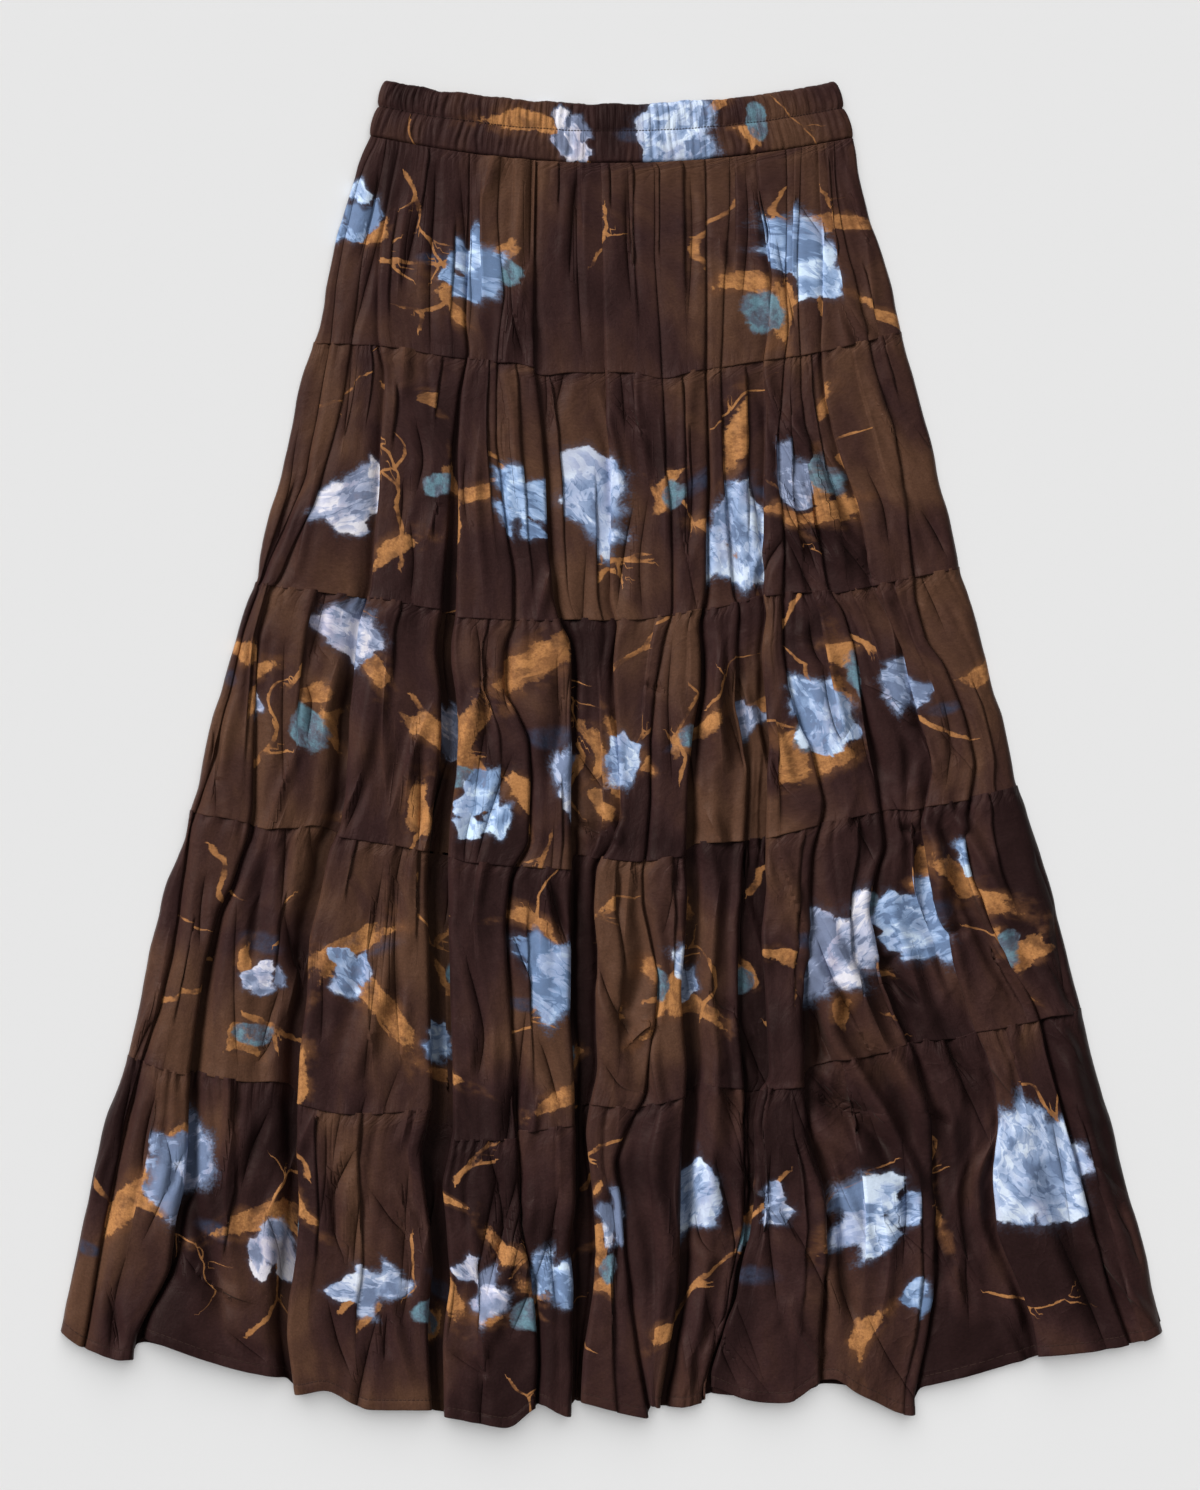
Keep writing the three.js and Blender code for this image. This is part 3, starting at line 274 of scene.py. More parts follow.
def normals(p):
    du = np.gradient(p, axis=1)
    dv = np.gradient(p, axis=0)
    n = np.cross(dv, du)
    return n / np.maximum(np.linalg.norm(n, axis=2, keepdims=True), 1e-9)


# ------------------------------------------------------------------ cross-sections of a tier
LEVELS = np.linspace(0, 5, 1001)


def track(points, sigma):
    p = np.array(points, float)
    return blur(np.interp(LEVELS, p[:, 0], p[:, 1]), sigma, 0)


NAMES = list(FOLD_LINES)
OUTLINE = [track(SIDE_LINES[n], 3) for n in ("left", "right")]
EDGES = [track(VALLEYS[n], 4) for n in NAMES]
for _a, _b in zip(EDGES[:-1], EDGES[1:]):
    _b += np.maximum(0, _a + 5.5 - _b)
LENGTH = [142, 168, 164, 176, 203]
# a front tier's columns: spacing near the lapped edges and on the folds' tops; rows: spacing down the tier
GRID = [(1.15, 1.75, 2.6), (1.2, 1.85, 2.8), (1.25, 2.0, 2.8), (1.3, 2.15, 2.9), (1.4, 2.4, 3.1)]


def tier_rows(length, last, gap):
    """Where the rows of a tier lie, 0 to 1 down it: closer together at the seams and the hem."""
    head = [0, 0.7, 1.5, 2.5, 3.8, 5.6]
    tail = [0, 0.7, 1.5, 2.5, 3.8, 5.6] if not last else [0, 0.7, 1.6, 3, 4.6, 6.2, 7.0, 7.8, 9.2]
    n = int(round((length - head[-1] - tail[-1]) / gap))
    mid = np.linspace(head[-1], length - tail[-1], n + 1)
    return np.array(head[:-1] + list(mid) + [length - v for v in tail[::-1]][1:]) / length


def tier_grid(k, front):
    """Points of a tier's cloth (rows down it, columns across it), the columns' places across the surface and across the
    print, the distance down the cloth, and the rows' shares. Millimetres."""
    fine, coarse, row_gap = GRID[k] if front else (5.0, 6.4, 5.8)
    v = tier_rows(LENGTH[k], k == 4, row_gap)
    t = k + v
    nr = len(v)
    sec = {n: spline(a, t)[:, None] for n, a in SECTIONS.items()}
    inset = 0.0 if front else 1.6
    left, right = np.interp(t, LEVELS, OUTLINE[0]) + inset, np.interp(t, LEVELS, OUTLINE[1]) - inset
    share = 1.0 if front else 0.14
    fold_h = sec["fold"][:, 0] * share
    rest = (1.45 + sec["lift"][:, 0]) if front else np.full(nr, 0.3)
    high = [spline(f, t) * fold_h * (1 + 0.10 * noise(t * 2.3 + j * 7.1, t * 0 + 3.3, 11 + j)) for j, f in enumerate(LOBES)]
    edge = [np.interp(t, LEVELS, e) for e in EDGES]
    deep = [np.clip(spline(FOLD_LINES[n][0], t), 0, 1) * (1 if front else 0.6) for n in NAMES]
    over = [spline(FOLD_LINES[n][1], t) * (1 if front else 0) for n in NAMES]
    gap = [np.clip(spline(FOLD_LINES[n][2], t), 0.3, 20) for n in NAMES]
    sign = [1 if FOLD_LINES[n][1][-1] > 0 else -1 for n in NAMES]
    hidden = [FOLD_LINES[n][3] * (0.15, 0.45, 0.75, 0.9, 1)[k] for n in NAMES]
    a_ = [left] + [edge[j] + (gap[j] if sign[j] > 0 else 0) for j in range(15)]  # where each fold begins
    b_ = [edge[j] - (gap[j] if sign[j] < 0 else 0) for j in range(15)] + [right]  # and ends
    wide = [np.maximum(b_[j] - a_[j], 4.0) for j in range(16)]
    place = np.linspace(0, 1, 5)
    mix = step(0, 1, v)

    def drop(j, f):
        f = np.clip(f, 0, 1)
        lo = np.interp(f, place, DROPS[k][j])
        hi = np.interp(f, place, DROPS[k + 1][j])
        return lo + (hi - lo) * mix

    pts, tops, jumps = [], [], []  # points: x, z, drop; tops: whether the stretch after it is a fold's top

    def add(x, z, d, top=False, jump=0.0):
        pts.append((x, z, d))
        tops.append(top)
        jumps.append(jump)

    zero = np.zeros(nr)
    for j in range(16):
        if j == 0:
            r = np.minimum(8, 0.3 * wide[0])
            for f, z in ((0, 0.0), (0.08, 0.3), (0.38, 0.66), (1, 0.92)):
                add(left + f * r, z * high[0], drop(0, zero), f == 1)
        # the top of this fold
        x0 = pts[-1][0]
        if j < 15:
            crisp = sign[j] > 0 or NAMES[j] == "deep_left"
            r1 = np.minimum(3.6 if crisp else FOLD_LINES[NAMES[j]][4], 0.3 * wide[j])
            x1 = b_[j] - r1
        else:
            r1 = np.minimum(8, 0.3 * wide[j])
            x1 = right - r1
        for m, f in enumerate((0.22, 0.5, 0.78)):
            lift = 1 + 0.09 * noise(t * 2.1 + j * 3.7, t * 0 + m * 5.3, 5 + m)
            x = x0 + (x1 - x0) * f
            lift = lift * (1 + spline(LEAN.get(j, [0] * 6), t) * (1 - 2 * f))
            add(x, lift * high[j], drop(j, (x - a_[j]) / wide[j]), True)
        if j == 15:
            for f, z in ((1, 0.92), (0.38, 0.66), (0.08, 0.3), (0, 0.0)):
                add(right - f * r1, z * high[15], drop(15, zero + 1))
            break
        hl, hr = high[j], high[j + 1]
        floor = (1 - deep[j]) * np.minimum(hl, hr)
        o, g, e = np.abs(over[j]), gap[j], edge[j]
        both = NAMES[j] == "deep_left"
        soft = FOLD_LINES[NAMES[j]][4]
        dl, dr = drop(j, zero + 1), drop(j + 1, zero)
        dm = (dl + dr) / 2
        h = hidden[j]
        if sign[j] > 0:
            rl, rr = np.minimum(3.6, 0.3 * wide[j]), np.minimum(3.6 if both else soft, 0.3 * wide[j + 1])
            up, vp = (lambda q: floor + (hl - floor) * q), (lambda q: floor + (hr - floor) * q)  # noqa: E731
            add(e - rl, up(0.98), dl)
            add(e - 0.45 * rl, up(0.95), dl)
            add(e - 0.12 * rl, up(0.80), dl)
            add(e, up(0.52), dl)
            add(e - 0.55 * o, up(0.2), dl, False, h)
            add(e - 0.5 * o, floor, dm)
            add(e + 0.3 * g, floor, dm)
            add(e + g, vp(0.03), dr)
            add(e + g + 0.12 * rr, vp(0.24), dr)
            add(e + g + 0.35 * rr, vp(0.6), dr)
            add(e + g + 0.65 * rr, vp(0.86), dr)
            add(e + g + rr, vp(0.97), dr, True)
        else:
            rl, rr = np.minimum(3.6 if both else soft, 0.3 * wide[j]), np.minimum(3.6, 0.3 * wide[j + 1])
            up, vp = (lambda q: floor + (hl - floor) * q), (lambda q: floor + (hr - floor) * q)  # noqa: E731
            if both:  # both of its sides stand over it
                lap = np.clip(1.8 * (g - 2) / 8, 0, 1.8)
                add(e - g - rl, up(0.98), dl)
                add(e - g - 0.45 * rl, up(0.95), dl)
                add(e - g - 0.12 * rl, up(0.80), dl)
                add(e - g, up(0.52), dl)
                add(e - g - 0.6 * lap, up(0.2), dl)
                add(e - g - 0.5 * lap, floor, dm)
            else:
                add(e - g - rl, up(0.97), dl)
                add(e - g - 0.65 * rl, up(0.86), dl)
                add(e - g - 0.35 * rl, up(0.6), dl)
                add(e - g - 0.12 * rl, up(0.24), dl)
                add(e - g, up(0.03), dl)
            add(e - 0.3 * g, floor, dm)
            add(e + 0.5 * o, floor, dm, False, h)
            add(e + 0.55 * o, vp(0.2), dr)
            add(e, vp(0.52), dr)
            add(e + 0.12 * rr, vp(0.80), dr)
            add(e + 0.45 * rr, vp(0.95), dr)
            add(e + rr, vp(0.98), dr, True)
    X, Z, D = (np.stack([p[i] for p in pts], 1) for i in range(3))
    seg = np.hypot(np.diff(X, axis=1), np.diff(Z, axis=1))
    seg = np.percentile(seg, 80, axis=0)
    xs, zs, ds, js = [], [], [], []
    for m, ln in enumerate(seg):
        n = max(1, int(math.ceil(ln / (coarse if tops[m] else fine) - 0.35)))
        a = np.arange(n) / n
        for out, src in ((xs, X), (zs, Z), (ds, D)):
            out.append(src[:, m : m + 1] * (1 - a) + src[:, m + 1 : m + 2] * a)
        js.append(np.full(n, jumps[m] / n))
    for out, src in ((xs, X), (zs, Z), (ds, D)):
        out.append(src[:, -1:])
    X, Z, D = (np.concatenate(a, 1) for a in (xs, zs, ds))
    jump = np.concatenate(js)
    sg = 1.05 if front else 0.8
    X, Z, D = blur(X, sg, 1), blur(Z, sg, 1), blur(D, 2.0, 1)
    X[:, 0], X[:, -1] = left, right
    across = np.hypot(np.diff(X, axis=1), np.diff(Z, axis=1)).mean(0)
    s = np.concatenate([[0], np.cumsum(across)])
    s_print = np.concatenate([[0], np.cumsum(across + (jump if front else 0))])
    S = np.broadcast_to(s_print[None, :], X.shape).copy()
    if front:
        X, Z, S = tucks(k, X, Z, S, s, v)
    Y = line_y(sec, X) + D * (1 if front else 0.5)
    if not front and k == 4:
        Y = Y + 4.0 * v[:, None] ** 6
    P = np.stack([X, Y, Z + rest[:, None]], 2)
    dist = np.concatenate([np.zeros((1, X.shape[1])), np.cumsum(np.linalg.norm(np.diff(P, axis=0), axis=2), 0)])
    return P, s, S, dist, v


def tucks(k, X, Z, S, s, v):
    """Small laps of cloth on the folds' tops, most of them let out of the seam above."""
    rng = np.random.default_rng(7000 + k)
    nc = X.shape[1]
    gap = np.diff(s)
    n = [16, 16, 16, 17, 18][k]
    used = []
    slope = np.abs(np.diff(Z[len(v) // 2])) / np.maximum(np.abs(np.diff(X[len(v) // 2])), 0.3)
    tries = 0
    while len(used) < n and tries < 900:
        tries += 1
        c = int(rng.integers(8, nc - 9))
        if any(abs(s[c] - u) < 0.62 * s[-1] / n for u in used) or slope[c - 3 : c + 4].max() > 0.3:
            continue
        used.append(s[c])
        side = 1 if rng.random() < 0.6 else -1
        top = rng.random() < 0.72
        ln = rng.uniform(0.3, 1.2)
        if top:
            along = 1 - step(0.35 * ln, ln, v)
            along = along * (0.5 + 0.5 * step(0, 0.05, v))
        else:
            v0 = rng.uniform(0.15, 0.75)
            along = step(v0 - 0.5 * ln * 0.6, v0, v) * (1 - step(v0 + 0.1, v0 + 0.1 + 0.5 * ln, v) * rng.uniform(0.4, 1))
        along = along * (1 + 0.25 * noise(v * 9 + len(used), v * 0, 3))
        reach = rng.uniform(4.5, 8.0)
        dx, dz = (0.62 * gap[c] + rng.uniform(0.25, 0.9)), rng.uniform(0.5, 1.15) * (0.55 if k == 0 else 1.0)
        u = s - 0.5 * (s[c] + s[c + 1])
        fall = np.exp(-np.abs(u) / reach)
        A = along[:, None]
        X = X - A * dx * (np.sign(u) * fall)[None, :]
        Z = Z - side * A * dz * (np.sign(u) * fall * np.where(side * u > 0, 0.75, 1.25))[None, :]
        S = S + A * (rng.uniform(5, 18) * (u > 0) * np.exp(-np.maximum(u, 0) / 70.0))[None, :]
    return X, Z, S


# gathers under each tier's top seam. pitch: their spacing; reach: how far down they run; depth: of the deepest
GATHERS = [
    {"pitch": 5.6, "reach": (14, 125), "depth": 0.50, "width": (1.3, 2.6)},
    {"pitch": 8.0, "reach": (7, 75), "depth": 0.90, "width": (1.8, 3.6)},
    {"pitch": 8.2, "reach": (7, 90), "depth": 1.6, "width": (2.0, 4.4)},
    {"pitch": 8.6, "reach": (7, 95), "depth": 1.9, "width": (2.2, 4.6)},
    {"pitch": 9.0, "reach": (7, 105), "depth": 2.0, "width": (2.3, 5.0)},
]


def crease_field(P, front, k, seed):
    """Signed distance to the nearest crease, its height there and its half width, and the creases' soft part."""
    x, y = P[..., 0], P[..., 1]
    rng = np.random.default_rng(seed)
    lines = []
    if front:
        lines += [(1.3 * a, w, np.array(p, float)) for a, w, p in CREASES]
        lines += [(2.1 * a, w, np.array(p, float)) for a, w, p in BROAD]
    # more of them between the listed ones, steeper on the right-hand side
    y0, y1 = y.min(), y.max()
    n = [16, 32, 40, 52, 66][k]
    for _ in range(n):
        px = rng.uniform(x.min(), x.max())
        py = rng.uniform(y0, y1)
        lean = px / 1100.0 + rng.normal(0, 0.13) + (0.28 if px > 60 else 0.0)
        ln = rng.uniform(14, 48)
        m = 4
        q = np.linspace(-1, 1, m)
        bow = rng.uniform(-0.18, 0.18) * ln
        line = np.stack([px + math.sin(lean) * ln * q * 0.5 * 2 + bow * (1 - q * q) * 0.5, py - math.cos(lean) * ln * q], 1)
        lines.append((rng.choice([-1, 1], p=[0.6, 0.4]) * rng.uniform(0.7, 1.8), rng.uniform(1.3, 2.3), line))
    near = np.full(x.shape, 1e3)
    sd, amp, wid = np.full(x.shape, 40.0), np.zeros(x.shape), np.full(x.shape, 1.5)
    soft = np.zeros(x.shape)
    for a, w, p in lines:
        reach = max(14.0, 8.5 * w)
        lo, hi = p.min(0) - reach, p.max(0) + reach
        box = (x > lo[0]) & (x < hi[0]) & (y > lo[1]) & (y < hi[1])
        if not box.any():
            continue
        xx, yy = x[box], y[box]
        # a smoother line through the points
        tt = np.linspace(0, len(p) - 1, 6 * (len(p) - 1) + 1)
        q = np.stack([spline(p[:, 0], tt), spline(p[:, 1], tt)], 1)
        seg = np.diff(q, axis=0)
        ln = np.hypot(seg[:, 0], seg[:, 1])
        cum = np.concatenate([[0], np.cumsum(ln)])
        best, side, pos = np.full(xx.shape, 1e3), np.zeros(xx.shape), np.zeros(xx.shape)
        for i in range(len(seg)):
            ux, uy = seg[i] / ln[i]
            dx, dy = xx - q[i, 0], yy - q[i, 1]
            al = dx * ux + dy * uy
            alc = np.clip(al, 0, ln[i])
            ac = -dx * uy + dy * ux
            d = np.hypot(al - alc, ac)
            m = d < best
            best = np.where(m, d, best)
            side = np.where(m, ac, side)
            pos = np.where(m, cum[i] + alc, pos)
        f = pos / cum[-1]
        fade = np.clip(4.2 * f * (1 - f) + 0.1, 0, 1) ** 0.8
        h = a * fade * np.exp(-((best / 5.5) ** 2))
        soft[box] += a * fade * (1.25 * np.exp(-((best / (2.3 * w)) ** 2)) - 0.45 * np.exp(-(((best - 4.2 * w) / (1.9 * w)) ** 2)) + 0.6 * np.tanh(side / w) * np.exp(-((best / (5.0 * w)) ** 2)))
        m = (best < near[box]) & (w < 2.3)  # the broad ones are in the cloth itself
        for arr, val in ((near, best), (sd, np.where(side < 0, -best, best)), (amp, h), (wid, np.full(best.shape, w))):
            tmp = arr[box]
            tmp[m] = val[m]
            arr[box] = tmp
    return np.stack([sd, amp, wid], -1), soft


def relief(k, front, P, s, dist, seed):
    """Height of the fine gathers and soft buckles on a tier, along the cloth's normal, mm."""
    rng = np.random.default_rng(seed)
    g = GATHERS[k]
    S = np.broadcast_to(s[None, :], dist.shape)
    total = dist[-1:, :]
    h = np.zeros_like(dist)
    scale = 1.0 if front else 0.45
    right_side = step(0.5, 0.75, s / s[-1])[None, :]
    # gathers held in the top seam: each a soft ridge with a sharp little valley at its side
    n = int(s[-1] / g["pitch"])
    at = (np.arange(n) + 0.5 + rng.uniform(-0.42, 0.42, n)) * s[-1] / n
    for i in range(n):
        width = rng.uniform(*g["width"])
        reach = g["reach"][0] + (g["reach"][1] - g["reach"][0]) * rng.random() ** 5.0
        depth = g["depth"] * rng.uniform(0.3, 1.0)
        lean = rng.uniform(-0.14, 0.14) + 0.10 * float(at[i] > 0.6 * s[-1])
        cols = np.abs(s - at[i]) < 5 * width + 0.25 * reach
        d = dist[:, cols]
        across = S[:, cols] - at[i] - lean * d - (0.5, 0.8, 1.3, 1.6, 1.6)[k] * np.sin(d / 17.0 + i)
        w = width * (0.7 + d / (reach * 1.5))
        fade = np.exp(-((d / reach) ** 1.7))
        h[:, cols] += depth * fade * (-1.15 * np.exp(-np.abs(across) / (0.8 * w)) + 0.55 * np.exp(-(((np.abs(across) - 1.5 * w) / w) ** 2)))
    # puckers above the bottom seam
    if k < 4:
        n = int(s[-1] / 10)
        at = (np.arange(n) + 0.5 + rng.uniform(-0.45, 0.45, n)) * s[-1] / n
        for i in range(n):
            width, reach = rng.uniform(1.8, 3.8), 6 + 40 * rng.random() ** 2.2
            cols = np.abs(s - at[i]) < 6 * width + 6
            d = (total - dist)[:, cols]
            across = S[:, cols] - at[i] - rng.uniform(-0.2, 0.2) * d
            h[:, cols] -= rng.uniform(0.2, 0.8) * np.exp(-np.abs(across) / width) * np.exp(-((d / reach) ** 1.4)) * (1 - 0.7 * np.exp(-((d / 4.0) ** 2)))
    # soft folds between the gathers, running down the skirt and leaning outward
    lean = (S / s[-1] - 0.5) * 0.22 + 0.22 * right_side
    for m, (pitch, ln, a) in enumerate(((38, 110, 0.95), (19, 58, 0.46), (9, 32, 0.22))):
        r = fractal((S - lean * dist) / pitch + (0.15, 0.25, 0.4, 0.45, 0.45)[k] * fractal(S / 40, dist / 50, seed + 3 + m, 2), dist / ln + 3.1 * k, seed + 31 * m, 2)
        here = step(-0.35, 0.45, fractal(S / 70, dist / 60 + 7.7 * k, seed + 55 + m, 2))
        crisp = 1 - 2 * np.sqrt(np.abs(r) + 0.004)
        h += a * (0.34, 0.40, 0.72, 0.9, 1.0)[k] * (0.75 * r + 0.42 * crisp * here)
    # cross buckles where the cloth is slack, mostly low down and on the right
    slack = (0.35 + 0.65 * right_side) * (0.5 + 0.14 * k)
    r = noise((S * 0.75 + dist * 0.55) / 24, (dist * 0.8 - S * 0.5) / 62 + 5 * k, seed + 91)
    h += slack * 0.9 * (1 - 2.0 * np.sqrt(np.abs(r) + 0.01))
    r = noise((S * 0.6 - dist * 0.7) / 19 + 9, (dist * 0.7 + S * 0.5) / 48 + 5 * k, seed + 93)
    here = step(-0.2, 0.5, fractal(S / 60, dist / 50 + 3.3 * k, seed + 95, 2))
    h += slack * 0.8 * here * (1 - 2.1 * np.sqrt(np.abs(r) + 0.008))
    # seams sit low, with the cloth swelling beside them
    h += 0.5 * np.exp(-(((dist - 7) / 5) ** 2))
    e = total - dist
    if k < 4:
        h += 0.45 * np.exp(-((e / 5.0) ** 2))
    else:  # turned hem: a doubled edge, with its stitching pulled in
        h += 0.28 * (1 / (1 + np.exp((e - 7.4) / 0.35)))
        h -= 0.42 * np.exp(-(((e - 6.9) / 0.7) ** 2))
        h += 0.6 * np.exp(-((e / 14) ** 2)) * fractal(S / 9, dist * 0, seed + 77, 2)
    return h * scale


# ------------------------------------------------------------------ meshes
def make_mesh(name, verts, quads, attributes):
    me = bpy.data.meshes.new(name)
    me.vertices.add(len(verts))
    me.vertices.foreach_set("co", (verts * MM).astype(np.float32).ravel())
    me.loops.add(quads.size)
    me.loops.foreach_set("vertex_index", quads.astype(np.int32).ravel())
    me.polygons.add(len(quads))
    me.polygons.foreach_set("loop_start", np.arange(0, quads.size, 4, dtype=np.int32))
    me.polygons.foreach_set("use_smooth", np.ones(len(quads), bool))
    me.update(calc_edges=True)
    for key, val in attributes.items():
        a = me.attributes.new(key, "FLOAT_VECTOR", "POINT")
        a.data.foreach_set("vector", val.astype(np.float32).ravel())
    me.validate()
    ob = bpy.data.objects.new(name, me)
    bpy.context.scene.collection.objects.link(ob)
    return ob


def shell(name, top, under, attributes):
    """A closed shell between two grids of points."""
    nr, nc = top.shape[:2]
    idx = np.arange(nr * nc).reshape(nr, nc)
    low = idx + nr * nc
    q = lambda a, b, c, d: np.stack([a, b, c, d], -1).reshape(-1, 4)  # noqa: E731
    faces = [
        q(idx[:-1, :-1], idx[1:, :-1], idx[1:, 1:], idx[:-1, 1:]),
        q(low[:-1, :-1], low[:-1, 1:], low[1:, 1:], low[1:, :-1]),
        q(idx[0, :-1], idx[0, 1:], low[0, 1:], low[0, :-1]),
        q(idx[-1, 1:], idx[-1, :-1], low[-1, :-1], low[-1, 1:]),
        q(idx[1:, 0], idx[:-1, 0], low[:-1, 0], low[1:, 0]),
        q(idx[:-1, -1], idx[1:, -1], low[1:, -1], low[:-1, -1]),
    ]
    verts = np.concatenate([top.reshape(-1, 3), under.reshape(-1, 3)]) + OFF
    both = {k: np.concatenate([a.reshape(-1, 3)] * 2) for k, a in attributes.items()}
    return make_mesh(name, verts, np.concatenate(faces), both)


# ------------------------------------------------------------------ the print, laid out on flat cloth
def scatter(rng, n, width, length, gap, margin=4):
    """n points spread evenly but not regularly: each the loneliest of a few drawn at random."""
    out = []
    for _ in range(n):
        some = np.stack([rng.uniform(margin, width - margin, 9), rng.uniform(-6, length + 6, 9)], 1)
        far = 36 + 0.8 * np.minimum(some[:, 1] + 6, length + 6 - some[:, 1])
        for o in out:
            far = np.minimum(far, np.hypot(*(some - o).T))
        out.append(some[int(np.argmax(far))])
    return out


def turned(S, D, c, a):
    x, y = S - c[0], D - c[1]
    return x * math.cos(a) + y * math.sin(a), -x * math.sin(a) + y * math.cos(a)


def print_of(k, S, D, width, length, seed, dense=1.0):
    """For each point of the flat cloth: its place in the nearest blossom, leaf, branch and patch, as vectors."""
    rng = np.random.default_rng(seed)
    amount = width * length / 10000.0
    shape = S.shape
    # blossoms, each a handful of overlapping brush dabs of different tones
    rho, tone, soft, hue = np.full(shape, 9.0), np.zeros(shape), np.zeros(shape), np.zeros(shape)
    lx, ly = np.zeros(shape), np.zeros(shape)
    centres = []
    for c in scatter(rng, int(round(amount * dense * [0.55, 0.46, 0.66, 0.46, 0.44][k])), width, length, [66, 66, 62, 72, 80][k]):
        R = rng.uniform(*[(22, 42), (20, 40), (18, 41), (18, 43), (22, 54)][k])
        th0 = rng.normal(0.1 if k > 2 else 0.9, 0.55)
        flat = rng.uniform(0.6, 0.95) if k < 3 else rng.uniform(0.5, 0.85)
        sd = rng.random() * 40
        m = int(rng.integers(6, 10)) if R > 22 else int(rng.integers(3, 6))
        acc = np.zeros(shape)
        key = np.clip(rng.normal(0.52, 0.09), 0.36, 0.68)
        paint = np.full(shape, key - 0.12)
        turn = rng.uniform(0, 6.28)
        for i in range(m):
            a = R * rng.uniform(0.34, 0.52)
            b = a * rng.uniform(0.5, 0.9)
            ga = turn + 6.28 * i / (m - 1) + rng.normal(0, 0.25)
            out = R * (rng.uniform(0.40, 0.72) if i < m - 1 else 0.1)
            o = np.array([out * math.cos(ga), out * math.sin(ga) * flat])
            co = np.array([o[0] * math.cos(th0) - o[1] * math.sin(th0), o[0] * math.sin(th0) + o[1] * math.cos(th0)])
            u, w = turned(S, D, c + co, th0 + ga * 0.8 + rng.normal(0, 0.4))
            # a dab is blunt at one end and drawn out at the other
            u = np.where(u > 0, u / a, u / (a * rng.uniform(0.7, 1.2)))
            w = w / b
            th = np.arctan2(w, u)
            lobed = 1 + 0.13 * np.cos(3 * th + rng.uniform(0, 6.28)) + 0.10 * np.cos(5 * th + rng.uniform(0, 6.28)) + 0.05 * np.cos(9 * th + rng.uniform(0, 6.28))
            q = np.sqrt(u * u + w * w + 1e-9) * lobed
            # paler towards its rim, and painted over the ones before it
            t = key + rng.normal(0, 0.21) + 0.30 * (np.clip(q, 0, 1.15) ** 2 - 0.5)
            paint = paint + (t - paint) * step(1.06, 0.93, q)
            acc += np.exp(-8.0 * np.minimum(q, 6))
        q = -np.log(acc + 1e-14) / 8.0
        u, w = turned(S, D, c, th0)
        na = rng.uniform(0, 6.28)
        sf = np.clip(0.26 + 0.55 * (u * math.cos(na) + w * math.sin(na)) / R, 0, 1)
        near = q < rho
        rho = np.where(near, q, rho)
        tone, soft, hue = np.where(near, paint, tone), np.where(near, sf, soft), np.where(near, rng.uniform(-1, 1), hue)
        lx, ly = np.where(near, u / 22.0 + sd, lx), np.where(near, w / 22.0, ly)
        centres.append((c, R))
    bloom = np.stack([lx, ly, np.minimum(rho, 4)], -1)
    tones = np.stack([tone, soft, hue], -1)
    # slate-teal blobs, each with an ochre crescent or two round it
    teal = np.full(shape, 9.0)
    rs, ra, rk = np.full(shape, 9.0), np.zeros(shape), np.zeros(shape)

    def leaf(c, a_len, b_len, ang, bend, sd, power=2.6):
        nonlocal rs, ra, rk
        u, w = turned(S, D, c, ang)
        w = w + bend * (u / a_len) ** 2 * b_len
        wide = b_len * (1 - 0.22 * np.clip(u / a_len, -1, 1))
        th = np.arctan2(w / wide, u / a_len)
        lobed = 1 + 0.15 * np.cos(3 * th + 40 * sd) + 0.09 * np.cos(5 * th + 70 * sd)
        q = (np.abs(u / a_len) ** power + np.abs(w / wide) ** power + 1e-9) ** (1 / power) * lobed
        near = q < rs
        rs, ra, rk = np.where(near, q, rs), np.where(near, u / a_len, ra), np.where(near, sd, rk)

    for c in scatter(rng, int(round(amount * dense * [0.34, 0.28, 0.38, 0.42, 0.24][k])), width, length, 52):
        if any(np.hypot(*(c - o)) < 0.9 * r + 12 for o, r in centres):
            c = c + np.array([26.0, 14.0])
        r, a = rng.uniform(8, 18), rng.uniform(0, 3.14)
        u, w = turned(S, D, c, a)
        q = (np.abs(u / (r * rng.uniform(0.9, 1.35))) ** 2.5 + np.abs(w / (r * rng.uniform(0.7, 1.0))) ** 2.5 + 1e-9) ** 0.4
        teal = np.minimum(teal, q)
        for _ in range(int(rng.integers(1, 3))):
            ga = rng.uniform(0, 6.28)
            cc = c + r * rng.uniform(0.85, 1.15) * np.array([math.cos(ga), math.sin(ga)])
            leaf(cc, r * rng.uniform(0.8, 1.25), r * rng.uniform(0.38, 0.62), ga + 1.57 + rng.normal(0, 0.3), rng.uniform(0.3, 0.9) * rng.choice([-1, 1]), rng.random())
    # ochre leaves on their own and beside the blossoms
    for c in scatter(rng, int(round(amount * dense * [0.95, 0.95, 1.5, 1.3, 0.75][k])), width, length, 26):
        if rng.random() < 0.45 and centres:
            o, r = centres[rng.integers(len(centres))]
            ga = rng.uniform(0, 6.28)
            c = o + r * rng.uniform(0.95, 1.35) * np.array([math.cos(ga), 0.8 * math.sin(ga)])
        ln = rng.uniform(8, 20) if rng.random() < 0.66 else rng.uniform(19, 40)
        leaf(c, ln, ln * rng.uniform(0.16, 0.40 if ln < 20 else 0.24) + 1.0, rng.normal(0.95, 0.5) * rng.choice([-1, 1]) + 1.57, rng.normal(0, 0.5), rng.random(), 2.3)
    stroke = np.stack([np.minimum(rs, 4), ra, rk], -1)
